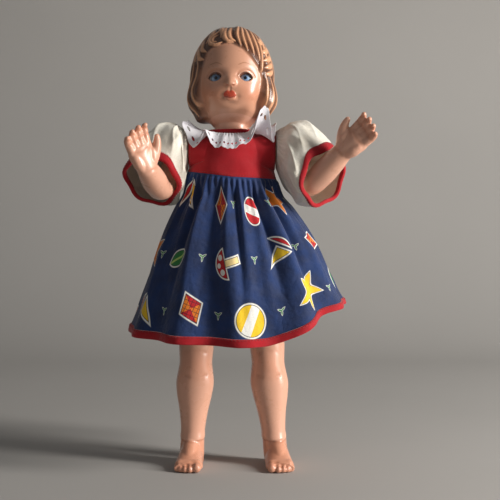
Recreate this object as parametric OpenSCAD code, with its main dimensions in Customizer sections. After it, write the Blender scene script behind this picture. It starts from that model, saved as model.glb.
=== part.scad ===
// Strung plastic doll with moulded hair and sleeping eyes, in a gathered cotton dress.
// +Z is up and the doll faces -Y. The origin is on the floor, under the middle of the whole figure.

/* [Figure] */
// Height of the hip axis above the floor
hip_height = 190; // [184:1:196]
// Height of the shoulder axis above the floor
shoulder_height = 326; // [316:1:340]
// Height of the neck pivot above the shoulder axis
neck_rise = 20; // [19:0.5:22]
// Distance from the middle of the body to each hip
hip_offset = 34.5; // [34:0.5:36]
// Distance from the middle of the body to each shoulder
shoulder_offset = 52; // [51:0.5:54]
// Wall of the hollow torso
torso_wall = 2.6; // [2:0.2:3.4]
// Running gap between moulded pieces
running_gap = 0.4; // [0.35:0.05:0.5]

/* [Head] */
// Width of the skull at the temples
head_width = 80; // [78:1:83]
// Depth of the face in front of the head centre
face_depth = 42; // [41:0.5:43]
// Depth of the skull behind the head centre
skull_depth = 46; // [44:0.5:48]
// Height of the skull above the head centre
skull_height = 49; // [47:0.5:51]
// Depth of the jaw below the head centre
jaw_height = 50; // [48.5:0.5:51]
// Backward tilt of the head
head_tilt = 14; // [12:1:16]
// Turn of the head to the doll's right
head_turn = 3; // [0:1:5]
// Thickness of the moulded hair
hair_depth = 2.4; // [2:0.1:2.8]
// Radius of the ball under the neck
neck_ball_r = 18; // [17.4:0.1:18.4]
// Radius of an eyeball
eye_r = 8.2; // [7.8:0.1:8.4]
// Width of an eye opening
eye_slit_w = 13.5; // [12.5:0.25:14]
// Height of an eye opening
eye_slit_h = 8.8; // [8:0.2:9.4]
// Radius of the coloured iris
iris_r = 4.2; // [3.8:0.1:4.4]

/* [Limbs] */
// Length of the upper arm
upper_arm = 56.7; // [55:0.5:58]
// Length of the forearm
forearm = 58; // [56:0.5:60]
// Length of the palm
palm_length = 25; // [24:0.5:26]
// Length of the middle finger
finger_length = 21; // [20:0.5:22]
// Radius of the shoulder ball
shoulder_ball_r = 15; // [14.4:0.1:15.2]
// Radius of the round top of the leg
hip_disc_r = 24; // [23:0.5:24.5]
// Length of the foot
foot_length = 58; // [56:1:60]

/* [Stringing] */
// Diameter of the rubber elastic
elastic_d = 2.6; // [2.2:0.1:2.8]
// Diameter of the hook wire
wire_d = 2.4; // [2:0.1:2.6]
// Radius of the plate that holds a limb hook
hook_plate_r = 8; // [7.5:0.1:8.5]

/* [Dress] */
// Drop from the shoulder axis to the waist seam at the front
waist_drop = 30; // [28:1:33]
// Length of the skirt at the front, from the waist seam to the hem
skirt_length = 164; // [150:1:176]
// Half width of the skirt at the hem
hem_half_width = 112; // [107:1:117]
// Half depth of the skirt at the hem
hem_half_depth = 91; // [86:1:96]
// Rise of the hem at the doll's left side
hem_lift = 33; // [24:1:36]
// Number of main folds around the skirt
fold_count = 11; // [9:1:13]
// Depth of a main fold at the hem
fold_depth = 5; // [3:0.5:6]
// Width of the bias binding at the hem
binding_width = 8; // [6:0.5:9]
// Thickness of the dress cloth
cloth = 1.2; // [1:0.1:1.4]
// Half width of a sleeve opening
sleeve_half_width = 28; // [26:0.5:30]
// Depth of the collar ruffle
ruffle_depth = 24; // [21:0.5:26]
// Number of waves around the collar
ruffle_count = 9; // [7:1:11]

/* [Hidden] */

left = 1;
right = -1;
skin_colour = [0.78, 0.52, 0.38];
red_colour = [0.62, 0.06, 0.08];
white_colour = [0.90, 0.88, 0.82];
navy_colour = [0.07, 0.10, 0.24];
steel_colour = [0.6, 0.6, 0.62];
rubber_colour = [0.80, 0.76, 0.66];
$fn = 32;

// Heights and pivots
neck_height = shoulder_height + neck_rise;
waist_height = shoulder_height - waist_drop;
hem_height = waist_height - skirt_length;
hip_y = 2;
shoulder_y = 6;
neck_pivot = [0, 0, neck_height];
hip_face = 14;
shoulder_face = 40;
hip_gap = 1.5;
arm_face = shoulder_face + running_gap;
leg_face = hip_face + running_gap;
// Place of the body's middle line in the frame, as the raised arm widens the figure on one side
body_place = [-15, 0, 0];

// General curves
function unit(v) = v / norm(v);
function lerp(a, b, t) = a + (b - a) * t;
function clamp(x) = max(0, min(1, x));
function smooth(a, b, x) = let (t = clamp((x - a) / (b - a))) t * t * (3 - 2 * t);
function swell(d, s) = exp(-d * d / (2 * s * s));
function sum(list) = list * [for (x = list) 1];
function bezier(a, b, c, t) = lerp(lerp(a, b, t), lerp(b, c, t), t);

// Row of a station table at a position in its first column, on a smooth curve through the rows
function row_at(rows, s) = let (
        last = len(rows) - 1,
        passed = [for (i = [0:last - 1]) if (s >= rows[i][0]) i],
        i = len(passed) > 0 ? passed[len(passed) - 1] : 0,
        a = rows[max(0, i - 1)],
        b = rows[i],
        c = rows[i + 1],
        d = rows[min(last, i + 2)],
        span = c[0] - b[0],
        t = clamp((s - b[0]) / span),
        out = (c - a) * span / (c[0] - a[0]),
        in = (d - b) * span / (d[0] - b[0])
    )
    b * (2 * t ^ 3 - 3 * t ^ 2 + 1) + out * (t ^ 3 - 2 * t ^ 2 + t)
    + c * (3 * t ^ 2 - 2 * t ^ 3) + in * (t ^ 3 - t ^ 2);

// Direction with a turn outwards from the front and a lift above the level
function heading(side, turn, lift) = [side * sin(turn) * cos(lift), -cos(turn) * cos(lift), sin(lift)];

// Level oval with separate front and back depths
function oval(centre, half_width, front, back, count) =
    [for (i = [0:count - 1]) let (a = 360 * i / count)
        centre + [half_width * cos(a), (sin(a) < 0 ? front : back) * sin(a), 0]];

// Closed solid through a list of rings that run anticlockwise seen from the last one
module skin(rings) {
    count = len(rings[0]);
    last = len(rings) - 1;
    walls = [for (j = [0:last - 1], i = [0:count - 1])
        let (a = j * count + i, b = j * count + (i + 1) % count)
            each [[a, b + count, b], [a, a + count, b + count]]];
    first_cap = [for (i = [0:count - 1]) i];
    last_cap = [for (i = [0:count - 1]) last * count + count - 1 - i];
    polyhedron([for (ring = rings) each ring], concat(walls, [first_cap, last_cap]));
}

// Closed ring-shaped solid through a list of closed sections
module skin_round(sections) {
    count = len(sections[0]);
    total = len(sections);
    walls = [for (j = [0:total - 1], i = [0:count - 1])
        let (
            next = (j + 1) % total,
            a = j * count + i,
            b = j * count + (i + 1) % count,
            c = next * count + i,
            d = next * count + (i + 1) % count
        )
            each [[a, b, d], [a, d, c]]];
    polyhedron([for (section = sections) each section], walls);
}

// Closed panel between two grids of points, the outer and the inner face of a sheet
module panel(outer, inner) {
    rows = len(outer);
    columns = len(outer[0]);
    total = rows * columns;
    points = concat([for (row = outer) each row], [for (row = inner) each row]);
    faces = [for (j = [0:rows - 2], i = [0:columns - 2])
        let (a = j * columns + i, b = a + 1, c = a + columns, d = c + 1)
            each [[a, d, b], [a, c, d],
                [a + total, b + total, d + total], [a + total, d + total, c + total]]];
    level_edges = [for (j = [0, rows - 1], i = [0:columns - 2])
        let (a = j * columns + i, b = a + 1)
            each j == 0
                ? [[a, b, b + total], [a, b + total, a + total]]
                : [[a, b + total, b], [a, a + total, b + total]]];
    upright_edges = [for (i = [0, columns - 1], j = [0:rows - 2])
        let (a = j * columns + i, c = a + columns)
            each i == 0
                ? [[a, c + total, c], [a, a + total, c + total]]
                : [[a, c, c + total], [a, c + total, a + total]]];
    polyhedron(points, concat(faces, level_edges, upright_edges));
}

// Torso stations from the hips to the neck: share of height, half width, front, back, centre in depth
torso_base = hip_height + hip_disc_r + hip_gap;
torso_top = neck_height - 1;
// Share of the shoulder axis; the stations below it and above it keep their own spacing
shoulder_share = 0.8533;
torso_form = [
    [0, 34, 25, 24, 2],
    [0.04, 41, 31, 28, 2],
    [0.12, 44, 35, 30.5, 2],
    [0.26, 43, 35, 28.5, 1.5],
    [0.42, 39, 31.5, 26, 1],
    [0.58, 37.5, 29.5, 26, 1],
    [0.74, 37.5, 28, 26, 1],
    [0.84, 36.5, 25.5, 25, 0.5],
    [0.90, 32, 23.5, 23.5, 0],
    [0.94, 25.5, 22.5, 22.5, 0],
    [0.97, 22.6, 22.3, 22.3, 0],
    [1, 22.3, 22.3, 22.3, 0]];
torso_points = 24;
torso_rows = [0, 0.04, 0.12, 0.26, 0.42, 0.58, 0.74, 0.8, 0.84, 0.87, 0.9, 0.92, 0.94, 0.955, 0.97, 1];

function torso_share(z) = z < shoulder_height
    ? shoulder_share * (z - torso_base) / (shoulder_height - torso_base)
    : lerp(shoulder_share, 1, (z - shoulder_height) / (torso_top - shoulder_height));
function torso_height(share) = share < shoulder_share
    ? lerp(torso_base, shoulder_height, share / shoulder_share)
    : lerp(shoulder_height, torso_top, (share - shoulder_share) / (1 - shoulder_share));
function torso_row(z) = row_at(torso_form, torso_share(z));
function torso_ring(z, inset) = let (row = torso_row(z))
    oval([0, row[4], z], row[1] - inset, row[2] - inset, row[3] - inset, torso_points);

// Rings of the hollow torso: up the inside from the floor of the cavity, over the rim, down the outside
function torso_rings() = let (
        outside = [for (k = torso_rows) torso_height(k)],
        inside = [for (k = [0.05, 0.14, 0.28, 0.42, 0.58, 0.74, 0.84, 0.9]) torso_height(k)],
        low_wall = torso_wall + 1
    )
    concat(
        [for (z = inside) torso_ring(z, low_wall)],
        [torso_ring(torso_top, low_wall)],
        [for (k = [len(outside) - 1:-1:0]) torso_ring(outside[k], 0)]);

shoulder_bore_r = 6;
hip_bore_r = 6.6;
string_passage_r = 9.5;
shoulder_pad_r = 10.6;
pelvis_r = hip_disc_r - 1;

// Moves the figure from its own middle line into the frame
module in_frame() {
    translate(body_place) children();
}

// Cylinder along X through a pivot
module cross_rod(y, z, x_from, x_to, r) {
    translate([x_from, y, z]) rotate([0, 90, 0]) cylinder(h = x_to - x_from, r = r);
}

module torso_shell() {
    pad_root = shoulder_face - 10;
    bore_root = shoulder_face - 16;
    cup_r = neck_ball_r + running_gap;
    color(skin_colour)
    difference() {
        union() {
            skin([for (ring = torso_rings()) [for (i = [len(ring) - 1:-1:0]) ring[i]]]);
            for (side = [left, right]) {
                cross_rod(shoulder_y, shoulder_height,
                    side == left ? pad_root : -shoulder_face,
                    side == left ? shoulder_face : -pad_root, shoulder_pad_r);
            }
            cross_rod(hip_y, hip_height, -hip_face, hip_face, pelvis_r);
            translate([-hip_face, hip_y - pelvis_r, hip_height])
                cube([2 * hip_face, 2 * pelvis_r, torso_base + torso_wall - hip_height]);
        }
        for (side = [left, right]) {
            cross_rod(shoulder_y, shoulder_height,
                side == left ? bore_root : -shoulder_face - 1,
                side == left ? shoulder_face + 1 : -bore_root, shoulder_bore_r);
        }
        cross_rod(hip_y, hip_height, -hip_face - 1, hip_face + 1, hip_bore_r);
        translate([0, hip_y, hip_height]) cylinder(h = 40, r = string_passage_r);
        translate(neck_pivot) sphere(r = cup_r);
    }
}

// Head centre from the neck pivot, before the tilt
head_centre = [0, -6, 54];
head_wall = 4.6;

module place_head() {
    translate(neck_pivot) rotate([0, 0, -head_turn]) rotate([-head_tilt, 0, 0]) children();
}

// Face half width in degrees of turn at each degree of lift, on the doll's right and left
hairline_right = [[-60, 62], [-48, 58], [-32, 51], [-12, 45], [5, 37], [20, 33],
    [27, 22], [31, 0], [33, -20]];
hairline_left = [[-60, 62], [-48, 58], [-32, 50], [-15, 48], [-3, 40], [10, 28],
    [22, 16], [31, 0], [33, -20]];
nape_lift = -60.5;
// Locks of hair: three points of turn and lift, half width in degrees, height
hair_locks = [
    [[6, 54], [15, 42], [15, 25], 5.5, 1.7],
    [[10, 58], [26, 40], [27, 14], 6, 1.7],
    [[16, 62], [38, 36], [39, 3], 6.5, 1.7],
    [[26, 64], [52, 32], [50, -6], 7, 1.7],
    [[0, 52], [-7, 42], [2, 34], 4.5, 1.5],
    [[-8, 58], [-20, 46], [-24, 30], 6, 1.7],
    [[-16, 62], [-36, 42], [-36, 18], 6.5, 1.7],
    [[-28, 64], [-52, 36], [-46, 0], 7, 1.7],
    [[56, -6], [66, -14], [58, -24], 6, 1.8],
    [[58, -26], [70, -36], [62, -46], 6.5, 2],
    [[-54, -4], [-64, -14], [-57, -24], 6, 1.8],
    [[-58, -26], [-70, -36], [-62, -46], 6.5, 2],
    [[74, 10], [88, -14], [78, -44], 7, 1.8],
    [[-74, 10], [-88, -14], [-78, -44], 7, 1.8],
    [[100, 20], [116, -12], [104, -46], 8, 1.8],
    [[-100, 20], [-116, -12], [-104, -46], 8, 1.8],
    [[128, 26], [142, -12], [132, -46], 8, 1.8],
    [[-128, 26], [-142, -12], [-132, -46], 8, 1.8],
    [[158, 28], [172, -12], [162, -46], 8, 1.8],
    [[-158, 28], [-166, -12], [-174, -46], 8, 1.8]];

function turn_gap(a, b) = let (d = a - b) d > 180 ? d - 360 : d < -180 ? d + 360 : d;
function flat_offset(a, e, p) = [turn_gap(a, p[0]) * cos(e), e - p[1]];
// Degrees from a place on the head to a stretch between two points of turn and lift
function stretch_distance(a, e, p, q) = let (
        from_p = flat_offset(a, e, p),
        along = [turn_gap(q[0], p[0]) * cos(e), q[1] - p[1]],
        t = clamp(from_p * along / (along * along))
    )
    norm(from_p - along * t);
function lock_height(a, e, lock) = let (
        d = min(stretch_distance(a, e, lock[0], lock[1]), stretch_distance(a, e, lock[1], lock[2]))
    )
    lock[4] * max(0, 1 - (d / lock[3]) ^ 2);

function hair_share(a, e) = let (edge = lookup(e, a < 0 ? hairline_right : hairline_left))
    smooth(0, 7, abs(a) - edge) * smooth(nape_lift - 4, nape_lift + 4, e);
// The bob swells out at the sides, less so at the back, and turns in under the ears
bob_rise = 9.6;
crown_rise = 2.2;
function bob_height(a, e) =
    bob_rise * smooth(-6, -38, e) * smooth(neck_lift, neck_lift + 11, e)
    * max(swell(abs(a) - 84, 24), 0.25 * smooth(84, 110, abs(a)));
function hair_height(a, e) = let (share = hair_share(a, e))
    share <= 0 ? 0 : share * (hair_depth + bob_height(a, e) + crown_rise * smooth(36, 72, e)
        + max([for (lock = hair_locks) lock_height(a, e, lock)]));

// Raised or sunk feature at a place of turn and lift, with its height and two spreads
function feature(a, e, turn, lift, height, spread_turn, spread_lift) =
    height * swell(norm([turn_gap(a, turn) * cos(lift) / spread_turn, (e - lift) / spread_lift]), 1);
function face_height(a, e) =
    feature(a, e, 0, -20, 0.9, 5, 8)
    + feature(a, e, 0, -26.6, 4.4, 4, 3.4)
    + feature(a, e, 32, -39, 2.8, 13, 11) + feature(a, e, -32, -39, 2.8, 13, 11)
    + feature(a, e, 0, -42, 1.5, 6.5, 2.2) + feature(a, e, 0, -47, 1.4, 5, 2.4)
    - feature(a, e, 11, -44, 0.9, 3, 3) - feature(a, e, -11, -44, 0.9, 3, 3)
    + feature(a, e, 0, -61, 2.2, 9, 7)
    - feature(a, e, 22, -18, 2.2, 8.5, 6.5) - feature(a, e, -22, -18, 2.2, 8.5, 6.5)
    + feature(a, e, 21, -5, 0.7, 11, 4) + feature(a, e, -21, -5, 0.7, 11, 4)
    + feature(a, e, 0, 12, 0.8, 20, 12);

function skull_radius(d) = let (
        depth = d[1] < 0 ? face_depth : skull_depth,
        height = d[2] < 0 ? jaw_height : skull_height
    )
    1 / norm([d[0] / (head_width / 2), d[1] / depth, d[2] / height]);
head_points = 42;
head_crowd = 24;
function head_turn_at(i) = let (a = 360 * i / head_points - 180) a - head_crowd * sin(a);
// The jaw stays full at the sides down to the throat
jaw_rise = 5.5;
function jaw_fill(a, e) = jaw_rise * smooth(-44, -62, e) * sin(a) ^ 2;
function head_point(a, e) = let (d = heading(1, a, e))
    head_centre + d * (skull_radius(d) + face_height(a, e) + jaw_fill(a, e) + hair_height(a, e));
function head_ring(e) = [for (i = [0:head_points - 1]) head_point(head_turn_at(i), e)];
function cavity_ring(e) = [for (i = [0:head_points - 1])
    let (a = head_turn_at(i), d = heading(1, a, e))
        head_centre + d * (skull_radius(d) - head_wall)];
function neck_ring(r, z, y) = [for (i = [0:head_points - 1])
    let (a = head_turn_at(i)) [r * sin(a), y - r * cos(a), z]];

neck_hole_r = 8.5;
neck_wall = 2.5;
neck_lift = -64;
function dome_rings(r, levels) = [for (t = levels)
    let (z_low = -sqrt(r ^ 2 - neck_hole_r ^ 2), polar = lerp(asin(z_low / r), 0, t))
        neck_ring(r * cos(polar), r * sin(polar), 0)];

// Full throat between the neck ball and the jaw, whose foot stays above the neck's rim over the tilt
throat_swell = 1.2;
throat_lip = 0.6;
function throat_foot_z(a) = 1.2 + 0.5 * max(0, cos(a)) + 6.5 * max(0, -cos(a));
function throat_seat(share) = [for (i = [0:head_points - 1])
    let (a = head_turn_at(i), polar = share * asin((throat_foot_z(a) - 0.8) / neck_ball_r))
        neck_ball_r * [cos(polar) * sin(a), -cos(polar) * cos(a), sin(polar)]];
function throat_ring(t) = [for (i = [0:head_points - 1])
    let (
        a = head_turn_at(i),
        out = [sin(a), -cos(a), 0],
        foot = (neck_ball_r + throat_lip) * out + [0, 0, throat_foot_z(a)],
        jaw = head_point(a, neck_lift),
        full = lerp(foot, jaw, 0.5) + throat_swell * out
    )
    bezier(foot, full, jaw, t)];

// Rings of the hollow head: down the inside from the crown to the neck hole, then up the outside
function head_rings() = concat(
    [for (e = [84, 50, 20, -4, -17, -30, -48]) cavity_ring(e)],
    [cavity_ring(neck_lift - 4)],
    dome_rings(neck_ball_r - neck_wall, [1, 0.67, 0.33, 0]),
    dome_rings(neck_ball_r, [0, 0.25, 0.5, 0.75, 1]),
    [throat_seat(1)],
    [for (t = [0, 0.3, 0.65]) throat_ring(t)],
    [for (e = [neck_lift:3:-16]) head_ring(e)],
    [for (e = [-12:4.4:68]) head_ring(e)],
    [for (e = [75, 82, 88]) head_ring(e)]);

eye_centre = [14.8, -30.5, 41.4];
function eye_place(side) = [side * eye_centre[0], eye_centre[1], eye_centre[2]];

// Almond outline of an eye opening, between two equal arcs
module eye_slit() {
    half_h = eye_slit_h / 2;
    arc_r = ((eye_slit_w / 2) ^ 2 + half_h ^ 2) / eye_slit_h;
    intersection() {
        translate([0, arc_r - half_h]) circle(r = arc_r);
        translate([0, half_h - arc_r]) circle(r = arc_r);
    }
}

// Flat seat inside the brow for the bridge that carries the eye axle
bridge_seat_w = 5;
bridge_seat_h = 6.6;
bridge_seat_root = 3;
bridge_heading = heading(1, 0, -17);
bridge_wall = head_centre + bridge_heading * (skull_radius(bridge_heading) - head_wall);
bridge_seat_y = bridge_wall[1] + 1.2;
module bridge_seat() {
    translate([-bridge_seat_w / 2, bridge_seat_y - bridge_seat_root, eye_centre[2] - bridge_seat_h / 2])
        cube([bridge_seat_w, bridge_seat_root, bridge_seat_h]);
}

module head_shell() {
    color(skin_colour)
    place_head()
    difference() {
        union() {
            skin(head_rings());
            bridge_seat();
        }
        for (side = [left, right]) {
            translate(eye_place(side)) {
                translate([side * 0.8, 0, 0]) rotate([90, 0, 0]) linear_extrude(height = 25) eye_slit();
                sphere(r = eye_r + running_gap);
            }
        }
    }
}

// Sleeping eyes on one axle, with the weight that closes them
eye_axle_r = 1;
eye_axle_fit = 0.35;
eye_axle_seat = 2.2;
eye_weight_r = 4;
eye_weight_half = 6.5;
eye_weight_drop = 13;
eye_weight_back = 6;
eye_arm_x = 4;
eye_arm_r = 0.8;
eye_arm_seat = 1;
eye_bridge_w = 2.4;
iris_back = -sqrt(eye_r ^ 2 - iris_r ^ 2);
axle_half = eye_centre[0] - eye_r + eye_axle_seat;

module iris_half_space() {
    translate([-eye_r, -2 * eye_r + iris_back, -eye_r]) cube(2 * eye_r);
}

module eyeball(side) {
    color(white_colour)
    place_head()
    difference() {
        translate(eye_place(side))
            difference() {
                sphere(r = eye_r, $fn = 120);
                iris_half_space();
            }
        cross_rod(eye_centre[1], eye_centre[2], -axle_half, axle_half, eye_axle_r);
    }
}

module iris(side) {
    color([0.25, 0.42, 0.62])
    place_head()
    translate(eye_place(side))
    intersection() {
        sphere(r = eye_r, $fn = 120);
        iris_half_space();
    }
}

module left_eyeball() { eyeball(left); }
module right_eyeball() { eyeball(right); }
module left_iris() { iris(left); }
module right_iris() { iris(right); }

// Two wire arms from the axle into the weight
module eye_arms() {
    reach = norm([eye_weight_back, eye_weight_drop]) - eye_weight_r + eye_arm_seat;
    swing = atan2(eye_weight_back, eye_weight_drop);
    for (x = [-eye_arm_x, eye_arm_x]) {
        translate([x, eye_centre[1], eye_centre[2]])
            rotate([180 + swing, 0, 0]) cylinder(h = reach, r = eye_arm_r);
    }
}

module eye_axle() {
    color(steel_colour)
    place_head()
    union() {
        cross_rod(eye_centre[1], eye_centre[2], -axle_half, axle_half, eye_axle_r);
        eye_arms();
    }
}

module eye_weight() {
    color([0.36, 0.37, 0.39])
    place_head()
    difference() {
        cross_rod(eye_centre[1] + eye_weight_back, eye_centre[2] - eye_weight_drop,
            -eye_weight_half, eye_weight_half, eye_weight_r);
        eye_arms();
    }
}

module eye_bridge() {
    bore_r = eye_axle_r + eye_axle_fit;
    boss_r = bore_r + 2;
    bar_h = 2 * boss_r - 1.2;
    bar_y = bridge_seat_y + 0.05;
    color(steel_colour)
    place_head()
    difference() {
        union() {
            cross_rod(eye_centre[1], eye_centre[2], -eye_bridge_w / 2, eye_bridge_w / 2, boss_r);
            translate([-eye_bridge_w / 2, bar_y, eye_centre[2] - bar_h / 2])
                cube([eye_bridge_w, eye_centre[1] - bar_y, bar_h]);
        }
        cross_rod(eye_centre[1], eye_centre[2], -eye_bridge_w, eye_bridge_w, bore_r);
    }
}

// Arm pose: turn and lift of the upper arm, the forearm and the hand, then the twist of the palm
left_arm_pose = [[41, -53], [57, 43], [66, 41], 4];
right_arm_pose = [[37, -56], [12, 24], [42, 63], 24];
elbow_bend = 18;
arm_points = 14;
// Arm stations: distance from the shoulder as a share of the arm, half width across, half thickness
arm_form = [
    [0, 12, 12],
    [0.12, 12.6, 12.6],
    [0.30, 12, 12],
    [0.43, 11.6, 12],
    [0.52, 11.8, 12.4],
    [0.62, 12.8, 12.4],
    [0.74, 11.8, 11],
    [0.82, 10.4, 9.4],
    [0.86, 11.2, 9],
    [0.92, 13.8, 8],
    [0.97, 14.4, 6.8],
    [1, 12.4, 4.4]];

function arm_pose(side) = side == left ? left_arm_pose : right_arm_pose;
function shoulder(side) = [side * shoulder_offset, shoulder_y, shoulder_height];
function arm_dir(side, part) = let (pose = arm_pose(side)[part]) heading(side, pose[0], pose[1]);
function elbow(side) = shoulder(side) + upper_arm * arm_dir(side, 0);
function wrist(side) = elbow(side) + forearm * arm_dir(side, 1);
function knuckles(side) = wrist(side) + palm_length * arm_dir(side, 2);
function arm_length() = upper_arm + forearm + palm_length;
// Point on the arm's centre line, with the elbow and the wrist rounded
function arm_point(side, s) =
    s < upper_arm - elbow_bend ? shoulder(side) + s * arm_dir(side, 0)
    : s < upper_arm + elbow_bend ? bezier(
        elbow(side) - elbow_bend * arm_dir(side, 0), elbow(side),
        elbow(side) + elbow_bend * arm_dir(side, 1),
        (s - upper_arm + elbow_bend) / (2 * elbow_bend))
    : s < upper_arm + forearm ? elbow(side) + (s - upper_arm) * arm_dir(side, 1)
    : wrist(side) + (s - upper_arm - forearm) * arm_dir(side, 2);
function arm_tangent(side, s) = unit(arm_point(side, s + 4) - arm_point(side, s - 4));
// Direction that the palm faces, square to the hand
function palm_facing(side) = let (
        hand = arm_dir(side, 2),
        bend = side * cross(arm_dir(side, 0), arm_dir(side, 1)),
        flat = unit(bend - hand * (bend * hand)),
        twist = side * arm_pose(side)[3]
    )
    flat * cos(twist) + cross(hand, flat) * sin(twist);
function thumb_side(side) = side * cross(palm_facing(side), arm_dir(side, 2));
function arm_facing(side, s) = let (
        t = arm_tangent(side, s),
        bend = side * cross(arm_dir(side, 0), arm_dir(side, 1)),
        facing = lerp(unit(bend), palm_facing(side), smooth(upper_arm, upper_arm + forearm, s))
    )
    unit(facing - t * (facing * t));
function arm_ring(side, share) = let (
        s = share * arm_length(),
        row = row_at(arm_form, share),
        facing = arm_facing(side, s),
        across = cross(arm_tangent(side, s), facing)
    )
    [for (i = [0:arm_points - 1]) let (a = 360 * i / arm_points)
        arm_point(side, s) + across * row[1] * cos(a) - facing * row[2] * sin(a)];

// Place in the hand: along the fingers from the wrist, towards the thumb, out of the palm
function in_hand(side, p) =
    wrist(side) + arm_dir(side, 2) * p[0] + thumb_side(side) * p[1] + palm_facing(side) * p[2];

// Fingers from the index to the little finger: offset across, share of length, spread
fingers = [[9.6, 0.94, 2.4], [3.2, 1, 0.8], [-3.2, 0.95, -1], [-9.2, 0.78, -2.6]];
finger_r = 4;

module finger(side, form) {
    reach = finger_length * form[1];
    base = in_hand(side, [palm_length - 3, form[0], 0]);
    middle = in_hand(side, [palm_length + 0.48 * reach, form[0] + form[2] * 0.6, 1.2]);
    tip = in_hand(side, [palm_length + reach - finger_r, form[0] + form[2], 4.4]);
    finger_joint(base, middle, finger_r + 0.4, finger_r);
    finger_joint(middle, tip, finger_r, finger_r - 0.7);
}

module finger_joint(from, to, r_from, r_to) {
    hull() {
        translate(from) sphere(r = r_from, $fn = 8);
        translate(to) sphere(r = r_to, $fn = 8);
    }
}

module thumb(side) {
    base = in_hand(side, [6, 7, 1]);
    middle = in_hand(side, [15, 15.5, 4]);
    tip = in_hand(side, [25.5, 19.5, 6]);
    finger_joint(base, middle, 5.8, 4.8);
    finger_joint(middle, tip, 4.8, 3.7);
}

// Flat face towards the body and the recess for the hook plate, both taken out of a limb
limb_block = 40;
plate_fit = 0.1;
module limb_seat(side, y, z, face) {
    mirror([side == left ? 0 : 1, 0, 0])
    translate([face, y, z]) {
        translate([-limb_block, -limb_block, -limb_block])
            cube([limb_block, 2 * limb_block, 2 * limb_block]);
        translate([-1, 0, 0]) rotate([0, 90, 0])
            cylinder(h = hook_plate_t + 1, r = hook_plate_r + plate_fit);
    }
}

module arm(side) {
    shares = [0.03, 0.12, 0.22, 0.29, 0.34, 0.39, 0.44, 0.5, 0.6, 0.7, 0.78, 0.84, 0.9, 0.96, 1];
    color(skin_colour)
    difference() {
        union() {
            translate(shoulder(side)) sphere(r = shoulder_ball_r, $fn = 20);
            skin([for (share = shares) arm_ring(side, share)]);
            for (form = fingers) {
                finger(side, form);
            }
            thumb(side);
        }
        limb_seat(side, shoulder_y, shoulder_height, arm_face);
    }
}

module left_arm() { arm(left); }
module right_arm() { arm(right); }

// Leg stations: share of the hip height, half width, front, back
leg_form = [
    [0, 11.6, 13, 14],
    [0.05, 12.6, 14, 15],
    [0.137, 12.2, 12.6, 12.4],
    [0.2, 12.6, 12.6, 13],
    [0.29, 14.8, 13.6, 16],
    [0.37, 17.8, 15, 20],
    [0.44, 19.4, 16, 21],
    [0.495, 18.2, 16.6, 18],
    [0.55, 16.8, 17.8, 15.6],
    [0.63, 17.8, 18.2, 16.4],
    [0.72, 18.6, 19, 18],
    [0.82, 19.8, 20.8, 20.8],
    [0.93, 20.4, 23, 23]];
// Outward run of each leg from the hip to the floor, and how late it sets in
left_leg_run = [12, 1.8];
right_leg_run = [7.5, 1.2];
leg_points = 15;
leg_half_width = hip_offset - hip_face;
toes_out = 4;
heel_back = 17;
foot_form = [
    [0, 5, 9],
    [0.08, 10.5, 17],
    [0.26, 12.6, 26],
    [0.46, 13, 23],
    [0.64, 14, 16.5],
    [0.8, 14.6, 12],
    [0.9, 13.4, 9.5]];
foot_points = 16;
// Toes from the big one: share of foot width, reach past the ball of the foot, radius
toes = [[-0.62, 0, 4.7], [-0.17, 0.4, 3.7], [0.17, -1, 3.5], [0.48, -3, 3.3], [0.76, -5.6, 3]];

function leg_run(side) = side == left ? left_leg_run : right_leg_run;
function leg_axis_x(side, z) =
    side * (hip_offset + leg_run(side)[0] * clamp(1 - z / hip_height) ^ leg_run(side)[1]);
// Round top of the leg, turned about the hip axis
function leg_top_ring(side, polar) = let (
        z = hip_height + hip_disc_r * sin(polar),
        depth = hip_disc_r * cos(polar)
    )
    oval([leg_axis_x(side, z), hip_y, z],
        leg_half_width * lerp(0.8, 1, cos(polar)), depth, depth, leg_points);
function leg_ring(side, z) = let (row = row_at(leg_form, z / hip_height))
    oval([leg_axis_x(side, z), hip_y, z], row[1], row[2], row[3], leg_points);
function foot_ring(side, share) = let (
        row = row_at(foot_form, share),
        y = heel_back - share * foot_length,
        x = leg_axis_x(side, 0) - side * tan(toes_out) * y
    )
    [for (i = [0:foot_points - 1]) let (a = 360 * i / foot_points, lift = sin(a))
        [x + row[1] * cos(a), y, lift > 0 ? 4 + (row[2] - 4) * lift : 4 + 5 * lift]];

module toe(side, form) {
    ball_y = heel_back - 0.84 * foot_length;
    tip_y = heel_back - foot_length + form[2] - min(0, form[1]);
    x = leg_axis_x(side, 0) + side * form[0] * 14.6 - side * tan(toes_out) * tip_y;
    hull() {
        translate([x, ball_y + 2, form[2]]) sphere(r = form[2], $fn = 8);
        translate([x, tip_y, form[2] - 0.2]) sphere(r = form[2], $fn = 8);
    }
}

// Rounded heel, instep and ball of the foot
module foot_pads(side) {
    x = leg_axis_x(side, 0);
    ball_y = heel_back - 0.8 * foot_length;
    ball_x = x - side * tan(toes_out) * ball_y;
    foot_pad([x, heel_back - 11.5, 9.5], 10.5, [x, hip_y + 1, 24], 10);
    foot_pad([x, hip_y - 5, 22], 9, [ball_x, ball_y + 8, 8], 7);
    foot_pad([ball_x - 8, ball_y, 6], 5.6, [ball_x + 8, ball_y, 6], 5.6);
}

module foot_pad(from, r_from, to, r_to) {
    hull() {
        translate(from) sphere(r = r_from, $fn = 12);
        translate(to) sphere(r = r_to, $fn = 12);
    }
}

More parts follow.
